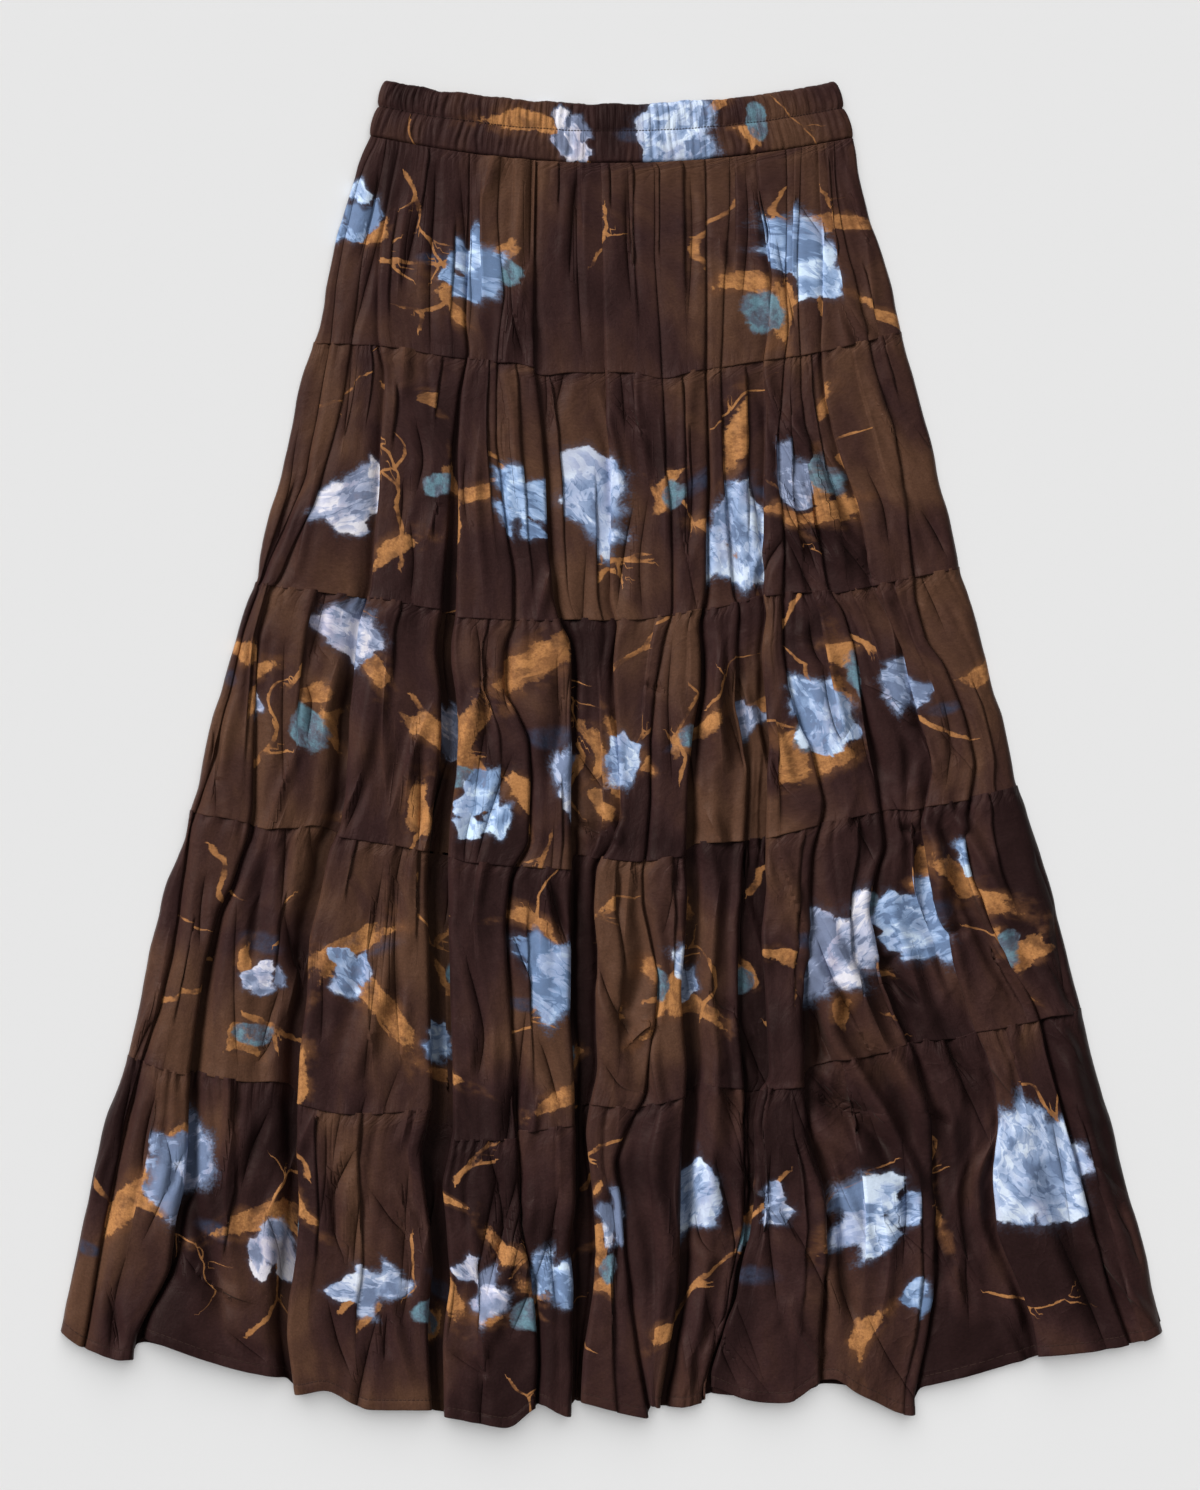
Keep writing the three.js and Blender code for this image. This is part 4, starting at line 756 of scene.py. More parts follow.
    # branches: thin kinked lines with forks
    lines = []
    for c in scatter(rng, int(round(amount * dense * [1.2, 1.1, 1.4, 1.3, 0.8][k])), width, length, 34):
        a = rng.normal(1.0, 0.45) * rng.choice([-1, 1])
        p = c
        wd = rng.uniform(0.8, 2.3)
        for i in range(int(rng.integers(2, 5))):
            ln = rng.uniform(9, 26)
            q = p + ln * np.array([math.cos(a), math.sin(a)])
            lines.append((p, q, rng.uniform(-0.1, 0.1) * ln, wd, wd * 0.85))
            if rng.random() < 0.55:
                b = a + rng.choice([-1, 1]) * rng.uniform(0.5, 1.1)
                lb = rng.uniform(7, 20)
                lines.append((q, q + lb * np.array([math.cos(b), math.sin(b)]), rng.uniform(-0.1, 0.1) * lb, wd * 0.8, wd * 0.4))
            p, wd = q, wd * 0.85
            a += rng.normal(0, 0.45)
    dist = np.full(shape, 60.0)
    signed, wid = np.full(shape, 60.0), np.zeros(shape)
    for p, e, bow, w0, w1 in lines:
        d = e - p
        ln = np.hypot(*d)
        d = d / ln
        x, y = S - p[0], D - p[1]
        along = x * d[0] + y * d[1]
        f = np.clip(along / ln, 0, 1)
        across = -x * d[1] + y * d[0] - bow * 4 * f * (1 - f) - 0.9 * np.sin(along / 5.0 + p[0]) * np.minimum(1, 4 * f * (1 - f))
        q = np.hypot(across, along - np.clip(along, 0, ln))
        near = q < dist
        dist = np.where(near, q, dist)
        signed = np.where(near, np.where(q > np.abs(across) + 0.05, np.sign(across + 1e-6) * q, across), signed)
        wid = np.where(near, w0 + (w1 - w0) * f, wid)
    branch = np.stack([signed, dist, wid], -1)
    # a few dark slate patches
    dark = np.full(shape, 9.0)
    for p in scatter(rng, int(round(amount * 0.3)), width, length, 60):
        r, a = rng.uniform(7, 15), rng.uniform(-0.5, 0.5)
        u, w = turned(S, D, p, a)
        dark = np.minimum(dark, np.hypot(u / (r * 1.5), w / (r * 0.6)))
    patch = np.stack([np.minimum(teal, 4), np.minimum(dark, 4), np.full(shape, float(k == 4))], -1)
    return {"bloom": bloom, "tones": tones, "stroke": stroke, "branch": branch, "patch": patch}


# ------------------------------------------------------------------ material
class Nodes:
    def __init__(self, mat):
        self.t = mat.node_tree
        self.t.nodes.clear()

    def set(self, socket, v):
        if hasattr(v, "is_linked"):
            self.t.links.new(v, socket)
        else:
            socket.default_value = v

    def attr(self, name):
        n = self.t.nodes.new("ShaderNodeAttribute")
        n.attribute_name = name
        return n.outputs["Vector"]

    def split(self, vec):
        n = self.t.nodes.new("ShaderNodeSeparateXYZ")
        self.set(n.inputs[0], vec)
        return n.outputs[0], n.outputs[1], n.outputs[2]

    def join(self, x, y, z):
        n = self.t.nodes.new("ShaderNodeCombineXYZ")
        for s, v in zip(n.inputs, (x, y, z)):
            self.set(s, v)
        return n.outputs[0]

    def math(self, op, a, b=0.0, c=0.0, clamp=False):
        n = self.t.nodes.new("ShaderNodeMath")
        n.operation = op
        n.use_clamp = clamp
        for s, v in zip(n.inputs, (a, b, c)):
            self.set(s, v)
        return n.outputs[0]

    def add(self, *terms):
        out = terms[0]
        for t in terms[1:]:
            out = self.math("ADD", out, t)
        return out

    def mul(self, *terms):
        out = terms[0]
        for t in terms[1:]:
            out = self.math("MULTIPLY", out, t)
        return out

    def vmath(self, op, a, b=(0, 0, 0)):
        n = self.t.nodes.new("ShaderNodeVectorMath")
        n.operation = op
        self.set(n.inputs[0], a)
        self.set(n.inputs[1], b)
        return n.outputs[0]

    def range(self, v, a, b, c=0.0, d=1.0, smooth=True):
        n = self.t.nodes.new("ShaderNodeMapRange")
        n.interpolation_type = "SMOOTHSTEP" if smooth else "LINEAR"
        for s, x in zip(n.inputs, (v, a, b, c, d)):
            self.set(s, x)
        return n.outputs[0]

    def noise(self, vec, scale, detail=3.0, rough=0.55, lac=2.0, distort=0.0):
        n = self.t.nodes.new("ShaderNodeTexNoise")
        self.set(n.inputs["Vector"], vec)
        n.inputs["Scale"].default_value = scale
        n.inputs["Detail"].default_value = detail
        n.inputs["Roughness"].default_value = rough
        n.inputs["Lacunarity"].default_value = lac
        n.inputs["Distortion"].default_value = distort
        return n.outputs[0]

    def mix(self, fac, a, b):
        n = self.t.nodes.new("ShaderNodeMix")
        n.data_type = "RGBA"
        self.set(n.inputs[0], fac)
        self.set(n.inputs[6], a if hasattr(a, "is_linked") else (*a, 1))
        self.set(n.inputs[7], b if hasattr(b, "is_linked") else (*b, 1))
        return n.outputs[2]

    def ramp(self, v, stops):
        n = self.t.nodes.new("ShaderNodeValToRGB")
        self.set(n.inputs[0], v)
        e = n.color_ramp.elements
        e[0].position, e[0].color = stops[0][0], (*stops[0][1], 1)
        e[1].position, e[1].color = stops[-1][0], (*stops[-1][1], 1)
        for p, c in stops[1:-1]:
            x = e.new(p)
            x.color = (*c, 1)
        return n.outputs[0]


GROUND_DEEP, GROUND_PLUM, GROUND_MID, GROUND_WARM = (0.019, 0.0084, 0.0084), (0.034, 0.0150, 0.0142), (0.052, 0.0234, 0.0174), (0.086, 0.0405, 0.0240)
OCHRE, OCHRE_DARK, OCHRE_DUSK = (0.42, 0.19, 0.068), (0.25, 0.108, 0.042), (0.125, 0.054, 0.026)
WHITE, LIGHT, PALE, BLUE, WASH, SMOKE = (0.74, 0.77, 0.82), (0.50, 0.55, 0.68), (0.345, 0.415, 0.56), (0.215, 0.275, 0.40), (0.125, 0.160, 0.245), (0.068, 0.076, 0.108)
MAUVE = (0.36, 0.34, 0.44)
TEAL, SLATE, NAVY = (0.13, 0.235, 0.29), (0.095, 0.12, 0.16), (0.034, 0.042, 0.072)


def printed_satin(name, band=False):
    mat = bpy.data.materials.new(name)
    mat.use_nodes = True
    N = Nodes(mat)
    cloth = N.attr("cloth")  # across and down the flat cloth and the tier, in metres
    etop, ebot, es = N.split(N.attr("edge"))  # distance to the top seam and to the bottom edge, and across, in millimetres
    bx, by, brho = N.split(N.attr("bloom"))
    btone, bsoft, bhue = N.split(N.attr("tones"))
    srho, salong, sseed = N.split(N.attr("stroke"))
    lsign, ldist, lwid = N.split(N.attr("branch"))
    teal, dark, hem = N.split(N.attr("patch"))
    csd, camp, cwid = N.split(N.attr("crease"))
    # painted shade: how deep the cloth sits between its folds, darkening its colour below
    painted_fold_shade, shift, loose = N.split(N.attr("shade"))
    coarse = N.math("SUBTRACT", N.noise(cloth, 60, 3, 0.6), 0.5)
    mid = N.math("SUBTRACT", N.noise(cloth, 170, 3, 0.6), 0.5)
    fine = N.math("SUBTRACT", N.noise(cloth, 560, 3, 0.65), 0.5)
    # ground: browns brushed into each other in broad soft zones along the cloth's length, shifted by tier and side:
    # lighter on the band and tier 3, darker on tiers 4 and 5 and most on their right, that darkening partly painted
    # shade of the deep recesses there
    g0 = N.noise(N.vmath("MULTIPLY", cloth, (1, 0.7, 1)), 10.5, 2, 0.5, 2.0, 0.5)
    g1 = N.noise(N.vmath("MULTIPLY", cloth, (1, 0.34, 1)), 30, 4, 0.62, 2.0, 0.5)
    g2 = N.noise(N.vmath("MULTIPLY", cloth, (1, 0.30, 1)), 110, 3, 0.6, 2.0, 0.2)
    gm = N.add(N.mul(g0, 0.70), N.mul(g1, 0.22), N.mul(g2, 0.08), shift)
    col = N.ramp(gm, [(0.38, GROUND_DEEP), (0.455, GROUND_PLUM), (0.52, GROUND_MID), (0.585, GROUND_WARM)])
    wobble = N.add(N.mul(coarse, 0.9), N.mul(mid, 0.5))
    # dark slate patches, soft and brushed
    m = N.mul(N.range(N.add(dark, wobble), 1.1, 0.5), N.range(mid, -0.2, 0.25, 0.35, 0.95))
    col = N.mix(m, col, NAVY)
    # smoky wash round each blossom
    q = N.add(brho, N.mul(wobble, 0.8))
    m = N.mul(N.range(N.add(q, N.mul(fine, 1.1)), 1.45, 0.92), N.range(bsoft, 0.1, 0.7, 0.15, 0.8))
    col = N.mix(m, col, N.mix(N.range(q, 1.35, 0.95), SMOKE, WASH))
    # an ochre haze round the leaves, then the leaves, dry towards their ends
    haze = N.noise(cloth, 48, 3, 0.6)
    m = N.mul(N.range(N.add(srho, N.mul(wobble, 1.1), N.mul(fine, 0.8)), 1.9, 0.95), N.range(haze, 0.42, 0.60, 0.0, 0.85))
    col = N.mix(m, col, OCHRE_DUSK)
    dry = N.noise(N.vmath("MULTIPLY", cloth, (1, 0.55, 1)), 150, 3, 0.65)
    q = N.add(srho, N.mul(coarse, 0.7), N.mul(mid, 0.85), N.mul(fine, 0.5))
    ends = N.mul(N.math("ABSOLUTE", salong), 0.26)
    m = N.mul(N.range(q, 1.04, 0.86), N.range(N.math("SUBTRACT", dry, ends), 0.10, 0.27, 0.15, 1.0), N.range(haze, 0.34, 0.50, 0.45, 1.0))
    oc = N.mix(N.range(N.add(N.noise(N.vmath("MULTIPLY", cloth, (1, 0.7, 1)), 120, 3, 0.65), N.mul(sseed, 0.22), N.mul(fine, 0.4)), 0.40, 0.72), OCHRE_DARK, OCHRE)
    col = N.mix(m, col, oc)
    # branches
    w = N.mul(lwid, N.add(1.0, N.mul(mid, 2.6)))
    m = N.range(N.math("ABSOLUTE", N.add(lsign, N.mul(mid, 1.6))), N.mul(w, 1.15), N.mul(w, 0.65))
    m = N.mul(m, N.range(ldist, 5.0, 3.6), N.range(N.add(coarse, N.mul(mid, 0.3)), -0.16, 0.0, 0.1, 0.95))
    col = N.mix(m, col, N.mix(N.range(coarse, -0.15, 0.2), OCHRE_DARK, OCHRE))
    # slate-teal blobs
    q = N.add(teal, N.mul(wobble, 0.85), N.mul(fine, 0.25))
    tn = N.noise(N.vmath("MULTIPLY", cloth, (1, 0.6, 1)), 95, 4, 0.7)
    m = N.mul(N.range(q, 1.02, 0.78), N.range(tn, 0.30, 0.46, 0.4, 0.95))
    col = N.mix(m, col, N.mix(N.range(N.add(tn, N.mul(mid, 0.5)), 0.40, 0.62), SLATE, TEAL))
    # blossoms: opaque dabs over thin washes, brushed along one way, crisp on one side and smoky on the other
    local = N.join(bx, by, btone)
    streak = N.noise(N.vmath("MULTIPLY", local, (0.8, 2.2, 0.2)), 1.6, 3, 0.48, 2.1, 0.4)
    body = N.noise(N.vmath("MULTIPLY", local, (1.1, 1.5, 0.2)), 0.95, 1, 0.5, 2.0, 0.5)
    lines = N.math("ABSOLUTE", N.math("SUBTRACT", N.noise(N.vmath("MULTIPLY", local, (0.8, 1.6, 0.3)), 1.5, 1, 0.5, 2.0, 0.9), 0.5))
    marks = N.range(N.noise(N.vmath("MULTIPLY", local, (1.1, 2.0, 0.5)), 1.7, 2, 0.55, 2.0, 0.7), 0.485, 0.535)
    q = N.add(brho, N.mul(wobble, 0.60), N.mul(fine, 0.20), N.mul(N.math("SUBTRACT", streak, 0.5), 0.30))
    crisp = N.range(q, 1.04, 0.90)
    smoky = N.range(N.add(q, N.mul(fine, 0.6)), 1.22, 0.74)
    m = N.add(N.mul(crisp, N.math("SUBTRACT", 1.0, bsoft)), N.mul(smoky, bsoft))
    tone = N.add(btone, N.mul(N.math("SUBTRACT", streak, 0.5), 0.50), N.mul(N.math("SUBTRACT", body, 0.5), 0.95), N.mul(mid, 0.16), N.mul(fine, 0.10), 0.015)
    tone = N.add(tone, N.mul(N.math("SUBTRACT", marks, 0.5), 0.24), N.mul(bsoft, -0.12), N.range(lines, 0.025, 0.0, 0.0, -0.18))
    tone = N.math("MAXIMUM", tone, N.range(brho, 0.70, 1.0, 0.27, 0.05))
    flower = N.ramp(tone, [(0.06, SMOKE), (0.20, WASH), (0.34, BLUE), (0.50, PALE), (0.68, LIGHT), (0.86, WHITE)])
    flower = N.mix(N.mul(N.range(g1, 0.50, 0.62, 0.0, 0.5), N.range(tone, 0.3, 0.5)), flower, MAUVE)
    flower = N.vmath("MULTIPLY", flower, N.mix(N.range(bhue, -0.8, 0.8), (1.03, 0.965, 0.975), (0.83, 0.99, 1.13)))
    thin = N.range(N.add(tone, N.mul(mid, 0.3)), 0.02, 0.34, 0.60, 1.0)
    col = N.mix(N.mul(m, thin), col, flower)
    # the cloth is a little mottled all over, and painted darker deep between its folds, as shade there
    grain = N.math("SUBTRACT", N.noise(cloth, 900, 2, 0.7), 0.5)
    rub = N.mul(N.add(N.mul(grain, 0.70), N.mul(fine, 0.60)), N.math("SUBTRACT", 1.0, N.mul(m, 0.75)))
    col = N.vmath("MULTIPLY", col, N.join(*[N.mul(N.add(1.0, rub), N.math("SUBTRACT", 1.0, N.mul(painted_fold_shade, 0.48)))] * 3))
    # stitches: the hem's and the band's, tone on tone
    if band:
        line = N.range(N.math("ABSOLUTE", etop), 0.6, 0.28)
    else:
        line = N.mul(N.range(N.math("ABSOLUTE", N.math("SUBTRACT", ebot, 6.9)), 0.5, 0.22), hem)
    dash = N.range(N.math("ABSOLUTE", N.math("SUBTRACT", N.math("FRACT", N.math("DIVIDE", es, 2.8)), 0.5)), 0.40, 0.33)
    stitch = N.mul(line, dash)
    col = N.mix(N.mul(stitch, 0.8), col, (0.016, 0.008, 0.007) if band else (0.040, 0.022, 0.018))
    # satin: fine slanting floats, creases sharper than the mesh, gathers at the seams, a soft crumple
    sx, sy, sz = N.split(cloth)
    floats = N.math("SINE", N.mul(N.add(N.mul(sx, 0.94), N.mul(sy, 0.34)), 6.2832 / 0.00042))
    slub = N.noise(N.vmath("MULTIPLY", cloth, (1, 0.12, 1)), 900, 2, 0.6)
    crumple = N.noise(N.vmath("MULTIPLY", cloth, (1, 0.85, 1)), 78, 4, 0.55, 2.0, 0.6)
    r1 = N.math("ABSOLUTE", N.math("SUBTRACT", N.noise(N.vmath("MULTIPLY", cloth, (1, 0.24, 1)), 42, 3, 0.5, 2.0, 0.8), 0.5))
    r1 = N.math("POWER", r1, 0.62)
    pleat = N.math("ABSOLUTE", N.math("SUBTRACT", N.noise(N.vmath("MULTIPLY", cloth, (1, 0.05, 1)), 125, 2, 0.5), 0.5))
    pleat = N.math("POWER", pleat, 0.6)
    seam = N.range(etop, 26.0, 0.0, 0.0, 1.0)
    seam2 = N.range(ebot, 16.0, 0.0, 0.0, 0.6)
    # a crease stands steep on one side and falls off gently on the other
    cu = N.math("DIVIDE", csd, cwid)
    crease = N.mul(camp, N.math("EXPONENT", N.add(N.mul(N.math("MAXIMUM", cu, 0.0), -0.42), N.mul(N.math("MINIMUM", cu, 0.0), 2.4))))
    r2 = N.noise(N.vmath("MULTIPLY", cloth, (0.8, 0.62, 1)), 40, 2, 0.5, 2.0, 1.1)
    r2 = N.math("POWER", N.math("ABSOLUTE", N.math("SUBTRACT", r2, 0.5)), 0.55)
    r2 = N.mul(r2, N.range(N.noise(cloth, 16, 2, 0.5), 0.45, 0.60), loose)
    height = N.add(N.mul(crumple, 0.0010), N.mul(r1, -0.0004), N.mul(crease, 0.0010), N.mul(r2, -0.0012))
    height = N.add(height, N.mul(pleat, N.math("MAXIMUM", seam, seam2), 0.0013))
    height = N.add(height, N.mul(floats, 0.000012), N.mul(slub, 0.00010), N.mul(stitch, 0.00025))
    bump = N.t.nodes.new("ShaderNodeBump")
    bump.inputs["Strength"].default_value = 0.9
    bump.inputs["Distance"].default_value = 1.0
    N.set(bump.inputs["Height"], height)
    # the brown ground varies in gloss, and the stitches are a little drier
    rough = N.add(N.range(g1, 0.3, 0.7, 0.44, 0.54), N.mul(fine, 0.08), N.mul(stitch, 0.2))
    out = N.t.nodes.new("ShaderNodeOutputMaterial")
    b = N.t.nodes.new("ShaderNodeBsdfPrincipled")
    N.set(b.inputs["Base Color"], col)
    N.set(b.inputs["Roughness"], rough)
    b.inputs["IOR"].default_value = 1.45
    b.inputs["Specular IOR Level"].default_value = 0.075
    b.inputs["Specular Tint"].default_value = (1.0, 0.80, 0.70, 1)
    b.inputs["Sheen Weight"].default_value = 0.035
    b.inputs["Sheen Roughness"].default_value = 0.4
    b.inputs["Sheen Tint"].default_value = (0.86, 0.70, 0.60, 1)
    N.set(b.inputs["Normal"], bump.outputs[0])
    N.t.links.new(b.outputs[0], out.inputs[0])
    return mat


SATIN = printed_satin("printed_satin")
BAND_MAT = printed_satin("waistband_satin", band=True)


# ------------------------------------------------------------------ tiers
def height_map(points, cell=3.0):
    """Highest point over each cell of the surface, for keeping the front layer off the back one."""
    x, y, z = points[..., 0].ravel(), points[..., 1].ravel(), points[..., 2].ravel()
    nx, ny = int(800 / cell), int(1000 / cell)
    i, j = np.clip(((x + 400) / cell).astype(int), 0, nx - 1), np.clip(((y + 500) / cell).astype(int), 0, ny - 1)
    m = np.zeros((nx, ny))
    np.maximum.at(m, (i, j), z)
    out = m.copy()
    for dx in (-2, -1, 0, 1, 2):
        for dy in (-2, -1, 0, 1, 2):
            out = np.maximum(out, np.roll(np.roll(m, dx, 0), dy, 1))
    return out, cell


def floor_under(hmap, cell, p):
    nx, ny = hmap.shape
    i = np.clip(((p[..., 0] + 400) / cell).astype(int), 0, nx - 1)
    j = np.clip(((p[..., 1] + 500) / cell).astype(int), 0, ny - 1)
    return hmap[i, j]


def shade_of(k, P, front):
    """How deep a point sits between folds, for the shade painted there; how light the ground is there, its darkening
    low on the right partly painted shade; and how slack the cloth is.
    """
    X, Z = P[..., 0], P[..., 2]
    sides = {15: [], 42: []}
    for way in (-1, 1) if front else ():
        top = {15: Z.copy(), 42: Z.copy()}
        for j in range(1, 38):
            near, apart = np.roll(Z, way * j, 1), np.abs(np.roll(X, way * j, 1) - X)
            for reach in top:
                top[reach] = np.where(apart < reach, np.maximum(top[reach], near), top[reach])
        for reach in top:
            sides[reach].append(top[reach])
    # painted shade: the deeper a point lies below the folds on both sides, the darker its colour is painted
    painted_fold_shade = np.zeros(Z.shape)
    if front:
        painted_fold_shade = np.maximum(step(4.5, 10.5, np.minimum(*sides[15]) - Z), 0.6 * step(3.5, 10.5, np.minimum(*sides[42]) - Z))
    right = step(-40, 60, X)
    # the ground's tone by tier: darker on tiers 4 and 5 and most on their right, partly the print's tone and partly
    # painted shade of the deep recesses there
    light = [0.006, 0.004, 0.020, -0.026 * right + 0.002, -0.048 - 0.030 * right][k] + 0 * Z
    loose = [0.25, 0.5, 0.7, 0.9, 1.0][k] * (0.6 + 0.4 * right)
    return np.stack([blur(painted_fold_shade, 0.6, 1), light, loose], -1)


back_map = None
back_layers = []
pieces = {}
for front in (False, True):
    for k in range(5):
        P, s, S, dist, v = tier_grid(k, front)
        seed = 100 + 10 * k + (5 if front else 0)
        crease, laid = crease_field(P, front, k, seed + 3)
        h = relief(k, front, P, s, dist, seed) + laid * (1.0 if front else 0.4)
        side = np.minimum(np.minimum(s, s[-1] - s) / 10, 1)[None, :]
        n = normals(P)
        # on steep sides of folds the relief is weaker, so that neighbouring folds keep apart
        h = h * (0.35 + 0.65 * np.clip(n[..., 2], 0, 1) ** 1.5)
        P = P + n * (h * side)[..., None]
        if front and k < 4:
            P[-1, :, 2] -= 0.1
        if front and k > 0:  # each tier starts just under the edge of the one above
            e = dist
            P[..., 1] += 1.5 * np.exp(-((e / 2.2) ** 2))
            P[..., 2] -= 0.40 * np.exp(-((e / 9.0) ** 2))
        # the outline wanders a little at the sides
        wander = 1.0 * noise(P[..., 1] / 23.0, P[..., 0] * 0 + (3 if front else 8), 71) * (1 - np.minimum(np.minimum(s, s[-1] - s) / 30, 1))[None, :]
        P[..., 0] += wander * np.sign(P[..., 0])
        if front:
            floor = floor_under(back_map[0], back_map[1], P) + CLOTH / 2 + 0.2
            P[..., 2] = np.maximum(P[..., 2], floor)
            over = P[..., 2] - (TOP_LIMIT - 1.6)
            P[..., 2] = np.where(over > 0, TOP_LIMIT - 1.6 + 1.3 * (1 - np.exp(-np.maximum(over, 0) / 1.3)), P[..., 2])
            # side seams: the front comes down round the edge of the back and closes the side
            for col, way in ((0, -1), (-1, 1)):
                P[:, col, 2] = np.minimum(P[:, col, 2], CLOTH / 2 + 0.25)
                P[:, col, 0] += 0.6 * way
        else:
            P[..., 2] = np.maximum(P[..., 2], CLOTH / 2)
            back_layers.append(P.reshape(-1, 3))
        n = normals(P)
        width, length = S[-1, -1], dist[-1].mean()
        attributes = print_of(k, S, dist, width, length, 500 + 20 * k + (7 if front else 0))
        attributes["crease"] = crease
        attributes["shade"] = shade_of(k, P, front)
        attributes["cloth"] = np.stack([S * MM, dist * MM, np.full(S.shape, 0.37 * k + (0.0 if front else 2.1))], -1)
        attributes["edge"] = np.stack([dist, dist[-1:, :] - dist, S], -1)
        under = P - n * CLOTH / 2
        if not front:
            under[..., 2] = np.maximum(under[..., 2], 0.0)
        name = f"{TIER_NAMES[k]}_{'front' if front else 'back'}"
        ob = shell(name + "_cloth", P + n * CLOTH / 2, under, attributes)
        ob.data.materials.append(SATIN)
        pieces[name] = (ob, width, length)
        print("GRID", name, P.shape[:2], "flat", round(float(width)), round(float(length)), "top", round(float(P[..., 2].max()), 1))
    if not front:
        back_map = height_map(np.concatenate(back_layers))


# ------------------------------------------------------------------ waistband
BAND_FLAT = (420.0, 42.0)


def band_piece(front):
    """Half of the casing: a closed flat tube with two channels swelled by elastic and ribbed by its gathers."""
    rng = np.random.default_rng(900 + front)
    rows = np.linspace(0, 1, 38)
    cols = np.linspace(0, 1, 310)
    Vv, U = np.meshgrid(rows, cols, indexing="ij")
    top, low = BAND_TOP, {n: SECTIONS[n][0] for n in ("y", "sag", "tilt", "half", "shift")}
    sec = {n: top[n] + (low[n] - top[n]) * Vv for n in top}
    stitch = 0.46
    one = np.where(Vv < stitch, Vv / stitch, (Vv - stitch) / (1 - stitch))
    swell = np.clip(4 * one * (1 - one), 0, 1) ** 0.5
    half = sec["half"] + 2.0 * swell - 0.6 * (1 - swell)
    X = sec["shift"] + half * (2 * U - 1)
    s = U * BAND_FLAT[0]
    # ribs: each gather crosses one channel, and some cross both
    rib = np.zeros_like(X)
    for channel in (0, 1, 2):
        at = 0.0
        gate = {0: 1 / (1 + np.exp((Vv - stitch) / 0.02)), 1: 1 / (1 + np.exp((stitch - Vv) / 0.02)), 2: np.ones_like(Vv)}[channel]
        while at < 1:
            at += rng.uniform(0.009, 0.024) * (1.2 if channel == 2 else 1.6)
            w, a = rng.uniform(0.0022, 0.0050), rng.uniform(0.25, 1.0)
            lean = rng.uniform(-0.016, 0.016)
            q = np.abs(U - at - lean * (Vv - 0.5) - 0.0022 * np.sin(Vv * 9 + at * 50))
            rib -= a * (np.exp(-q / (0.8 * w)) - 0.35 * np.exp(-(((q - 1.9 * w) / w) ** 2))) * gate * (0.4 + 0.6 * swell)
    rib += 0.45 * fractal(U * 30, Vv * 3, 905 + front, 2)
    edge_round = np.clip(np.minimum(Vv, 1 - Vv) / 0.06, 0, 1)
    edge_round = np.sqrt(np.clip(1 - (1 - edge_round) ** 2, 0, 1))
    endr = np.clip(np.minimum(U, 1 - U) / 0.012, 0, 1)
    endr = np.sqrt(np.clip(1 - (1 - endr) ** 2, 0, 1))
    base = 3.9 if front else 0.0
    thick = (2.1 + 1.15 * swell + rib * 1.05) * (0.35 + 0.65 * edge_round) * (0.3 + 0.7 * endr)
    thick = np.minimum(thick, 3.7) if not front else thick
    Y = line_y(sec, X) + 0.7 * fractal(U * 24, Vv * 1.5, 911, 2) * np.where(Vv < 0.1, 1, 0.4)
    # the top edge is nicked by the gathers
    Y = Y + 0.7 * rib * np.exp(-((Vv / 0.06) ** 2))
    upper = np.stack([X, Y, base + np.maximum(thick, 0.4)], -1)
    lower = np.stack([X, Y, base + 0.15 * (1 - edge_round)], -1)
    attributes = print_of(0, s, Vv * BAND_FLAT[1], BAND_FLAT[0], BAND_FLAT[1], 940 + 3 * front, 1.9)
    attributes["shade"] = np.stack([np.zeros(s.shape), np.full(s.shape, 0.030), np.full(s.shape, 0.2)], -1)
    attributes["crease"] = np.stack([np.full(s.shape, 40.0), np.zeros(s.shape), np.ones(s.shape)], -1)
    attributes["cloth"] = np.stack([s * MM, Vv * BAND_FLAT[1] * MM, np.full(s.shape, 5.3 + 1.7 * front)], -1)
    attributes["edge"] = np.stack([(Vv - stitch) * BAND_FLAT[1], (1 - Vv) * BAND_FLAT[1] + 500, s], -1)
    name = "waistband_front" if front else "waistband_back"
    ob = shell(name + "_casing", upper, lower, attributes)
    ob.data.materials.append(BAND_MAT)
    pieces[name] = (ob, *BAND_FLAT)


band_piece(False)
band_piece(True)

# ------------------------------------------------------------------ what each piece is
for name, (ob, width, length) in pieces.items():
    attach(ob, "root")
    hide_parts(name)

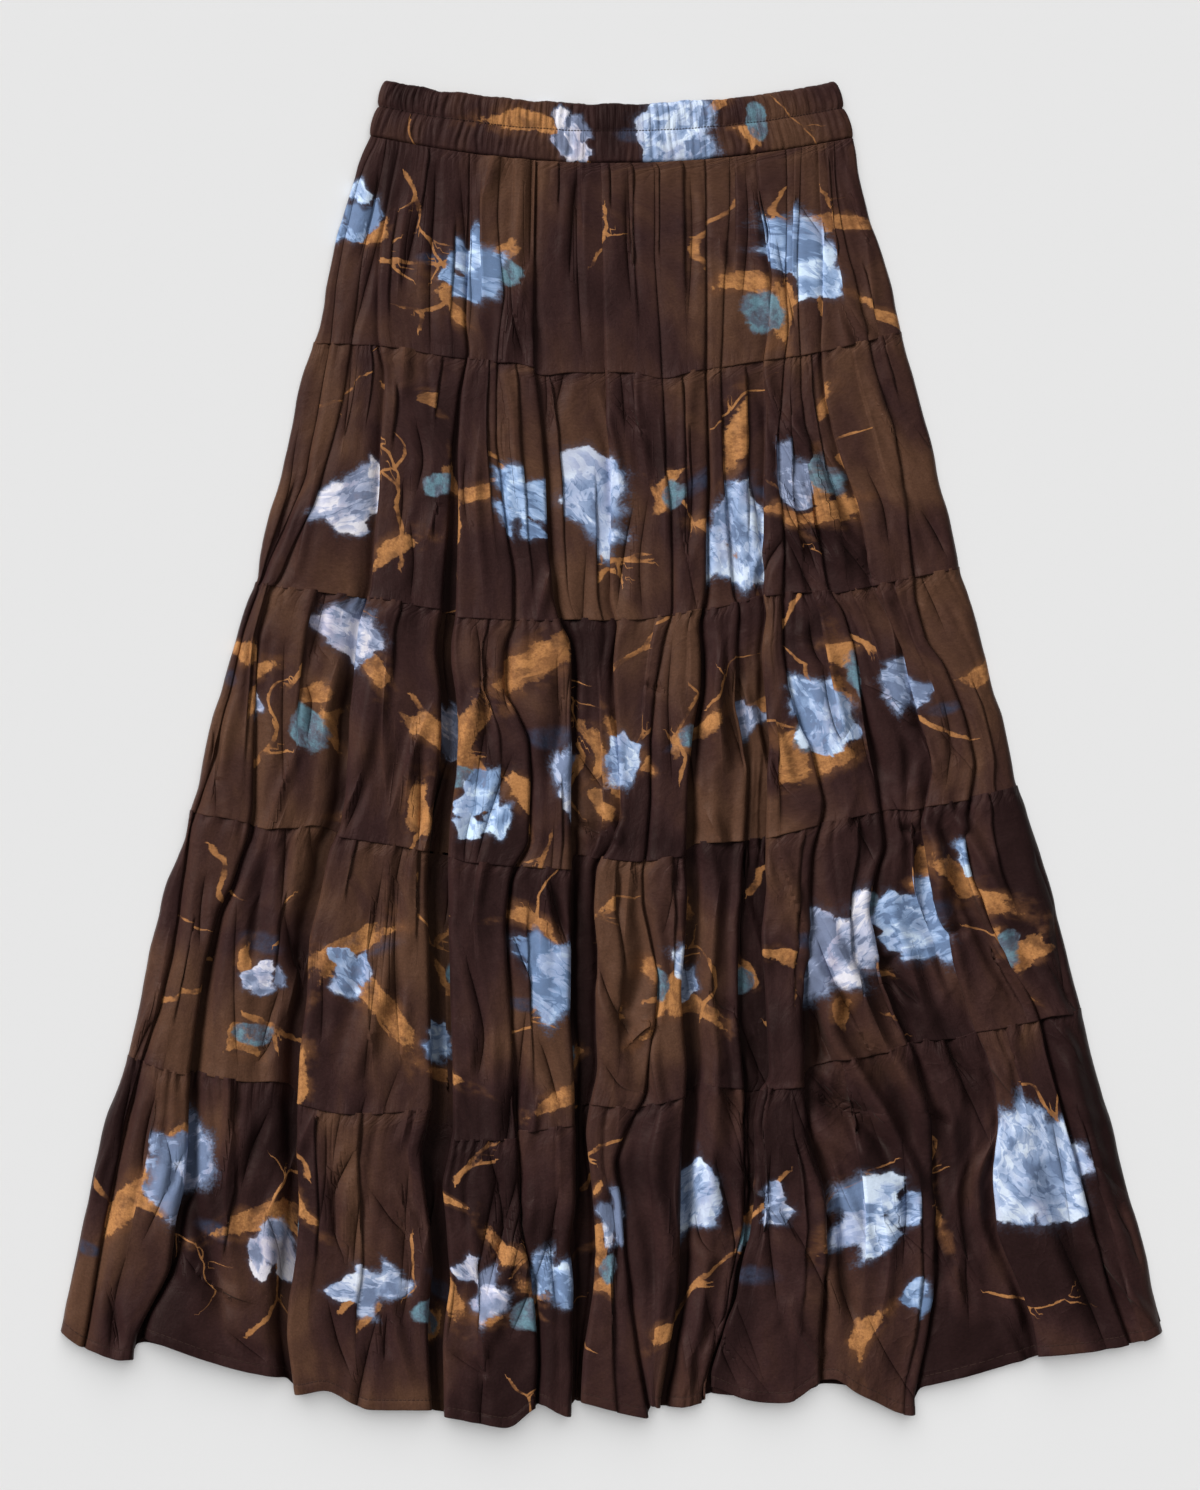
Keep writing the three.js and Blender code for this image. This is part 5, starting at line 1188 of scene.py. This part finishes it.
# ------------------------------------------------------------------ floor, light and camera
bpy.ops.mesh.primitive_plane_add(size=12, location=(0, 0, -0.0004))
floor = bpy.context.object
floor.name = "floor"
fm = bpy.data.materials.new("floor")
fm.use_nodes = True
pb = fm.node_tree.nodes["Principled BSDF"]
pb.inputs["Base Color"].default_value = (0.80, 0.80, 0.80, 1)
pb.inputs["Roughness"].default_value = 0.9
pb.inputs["Specular IOR Level"].default_value = 0.0
floor.data.materials.append(fm)

scene = bpy.context.scene
world = bpy.data.worlds.new("studio")
scene.world = world
world.use_nodes = True
bg = world.node_tree.nodes["Background"]
bg.inputs[0].default_value = (1, 1, 1, 1)
bg.inputs[1].default_value = 0.165


def sun(name, toward, strength, angle):
    """A broad far lamp; toward: from the skirt to the lamp."""
    data = bpy.data.lights.new(name, "SUN")
    data.energy = strength
    data.angle = math.radians(angle)
    o = bpy.data.objects.new(name, data)
    scene.collection.objects.link(o)
    o.location = Vector(toward) * 2
    o.rotation_euler = (-Vector(toward)).to_track_quat("-Z", "Y").to_euler()
    return o


def shine_on(lamp, objects):
    """Keeps a lamp to some of the objects."""
    lit = bpy.data.collections.new(lamp.name + "_lit")
    for o in objects:
        lit.objects.link(o)
    lamp.light_linking.receiver_collection = lit


shine_on(sun("key", (-0.66, 0.46, 0.59), 4.0, 32), [ob for ob, _, _ in pieces.values()])
shine_on(sun("table", (-0.03, 0.70, 0.71), 2.1, 74), [floor])
shine_on(sun("table_top", (0, 0, 1), 0.85, 40), [floor])
sun("fill", (0.40, 0.05, 0.91), 0.30, 60)

K = 0.68  # mm of surface in one pixel of the 1200 x 1490 frame
cam_data = bpy.data.cameras.new("camera")
cam_data.lens = 85
cam_data.sensor_width = 36
cam = bpy.data.objects.new("camera", cam_data)
scene.collection.objects.link(cam)
height = 1490 * K * MM * 85 / 36
cam.location = ((600 - 610) * K * MM + OFF[0] * MM, (754.5 - 745) * K * MM + OFF[1] * MM, height)
cam.rotation_euler = (0, 0, 0)
cam_data.clip_end = 20
scene.camera = cam
scene.view_settings.view_transform = "Standard"

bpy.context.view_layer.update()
counts = {n: sum(len(p.vertices) - 2 for p in o.data.polygons) for n, (o, _, _) in pieces.items()}
print("TRIANGLES", sum(counts.values()), counts)
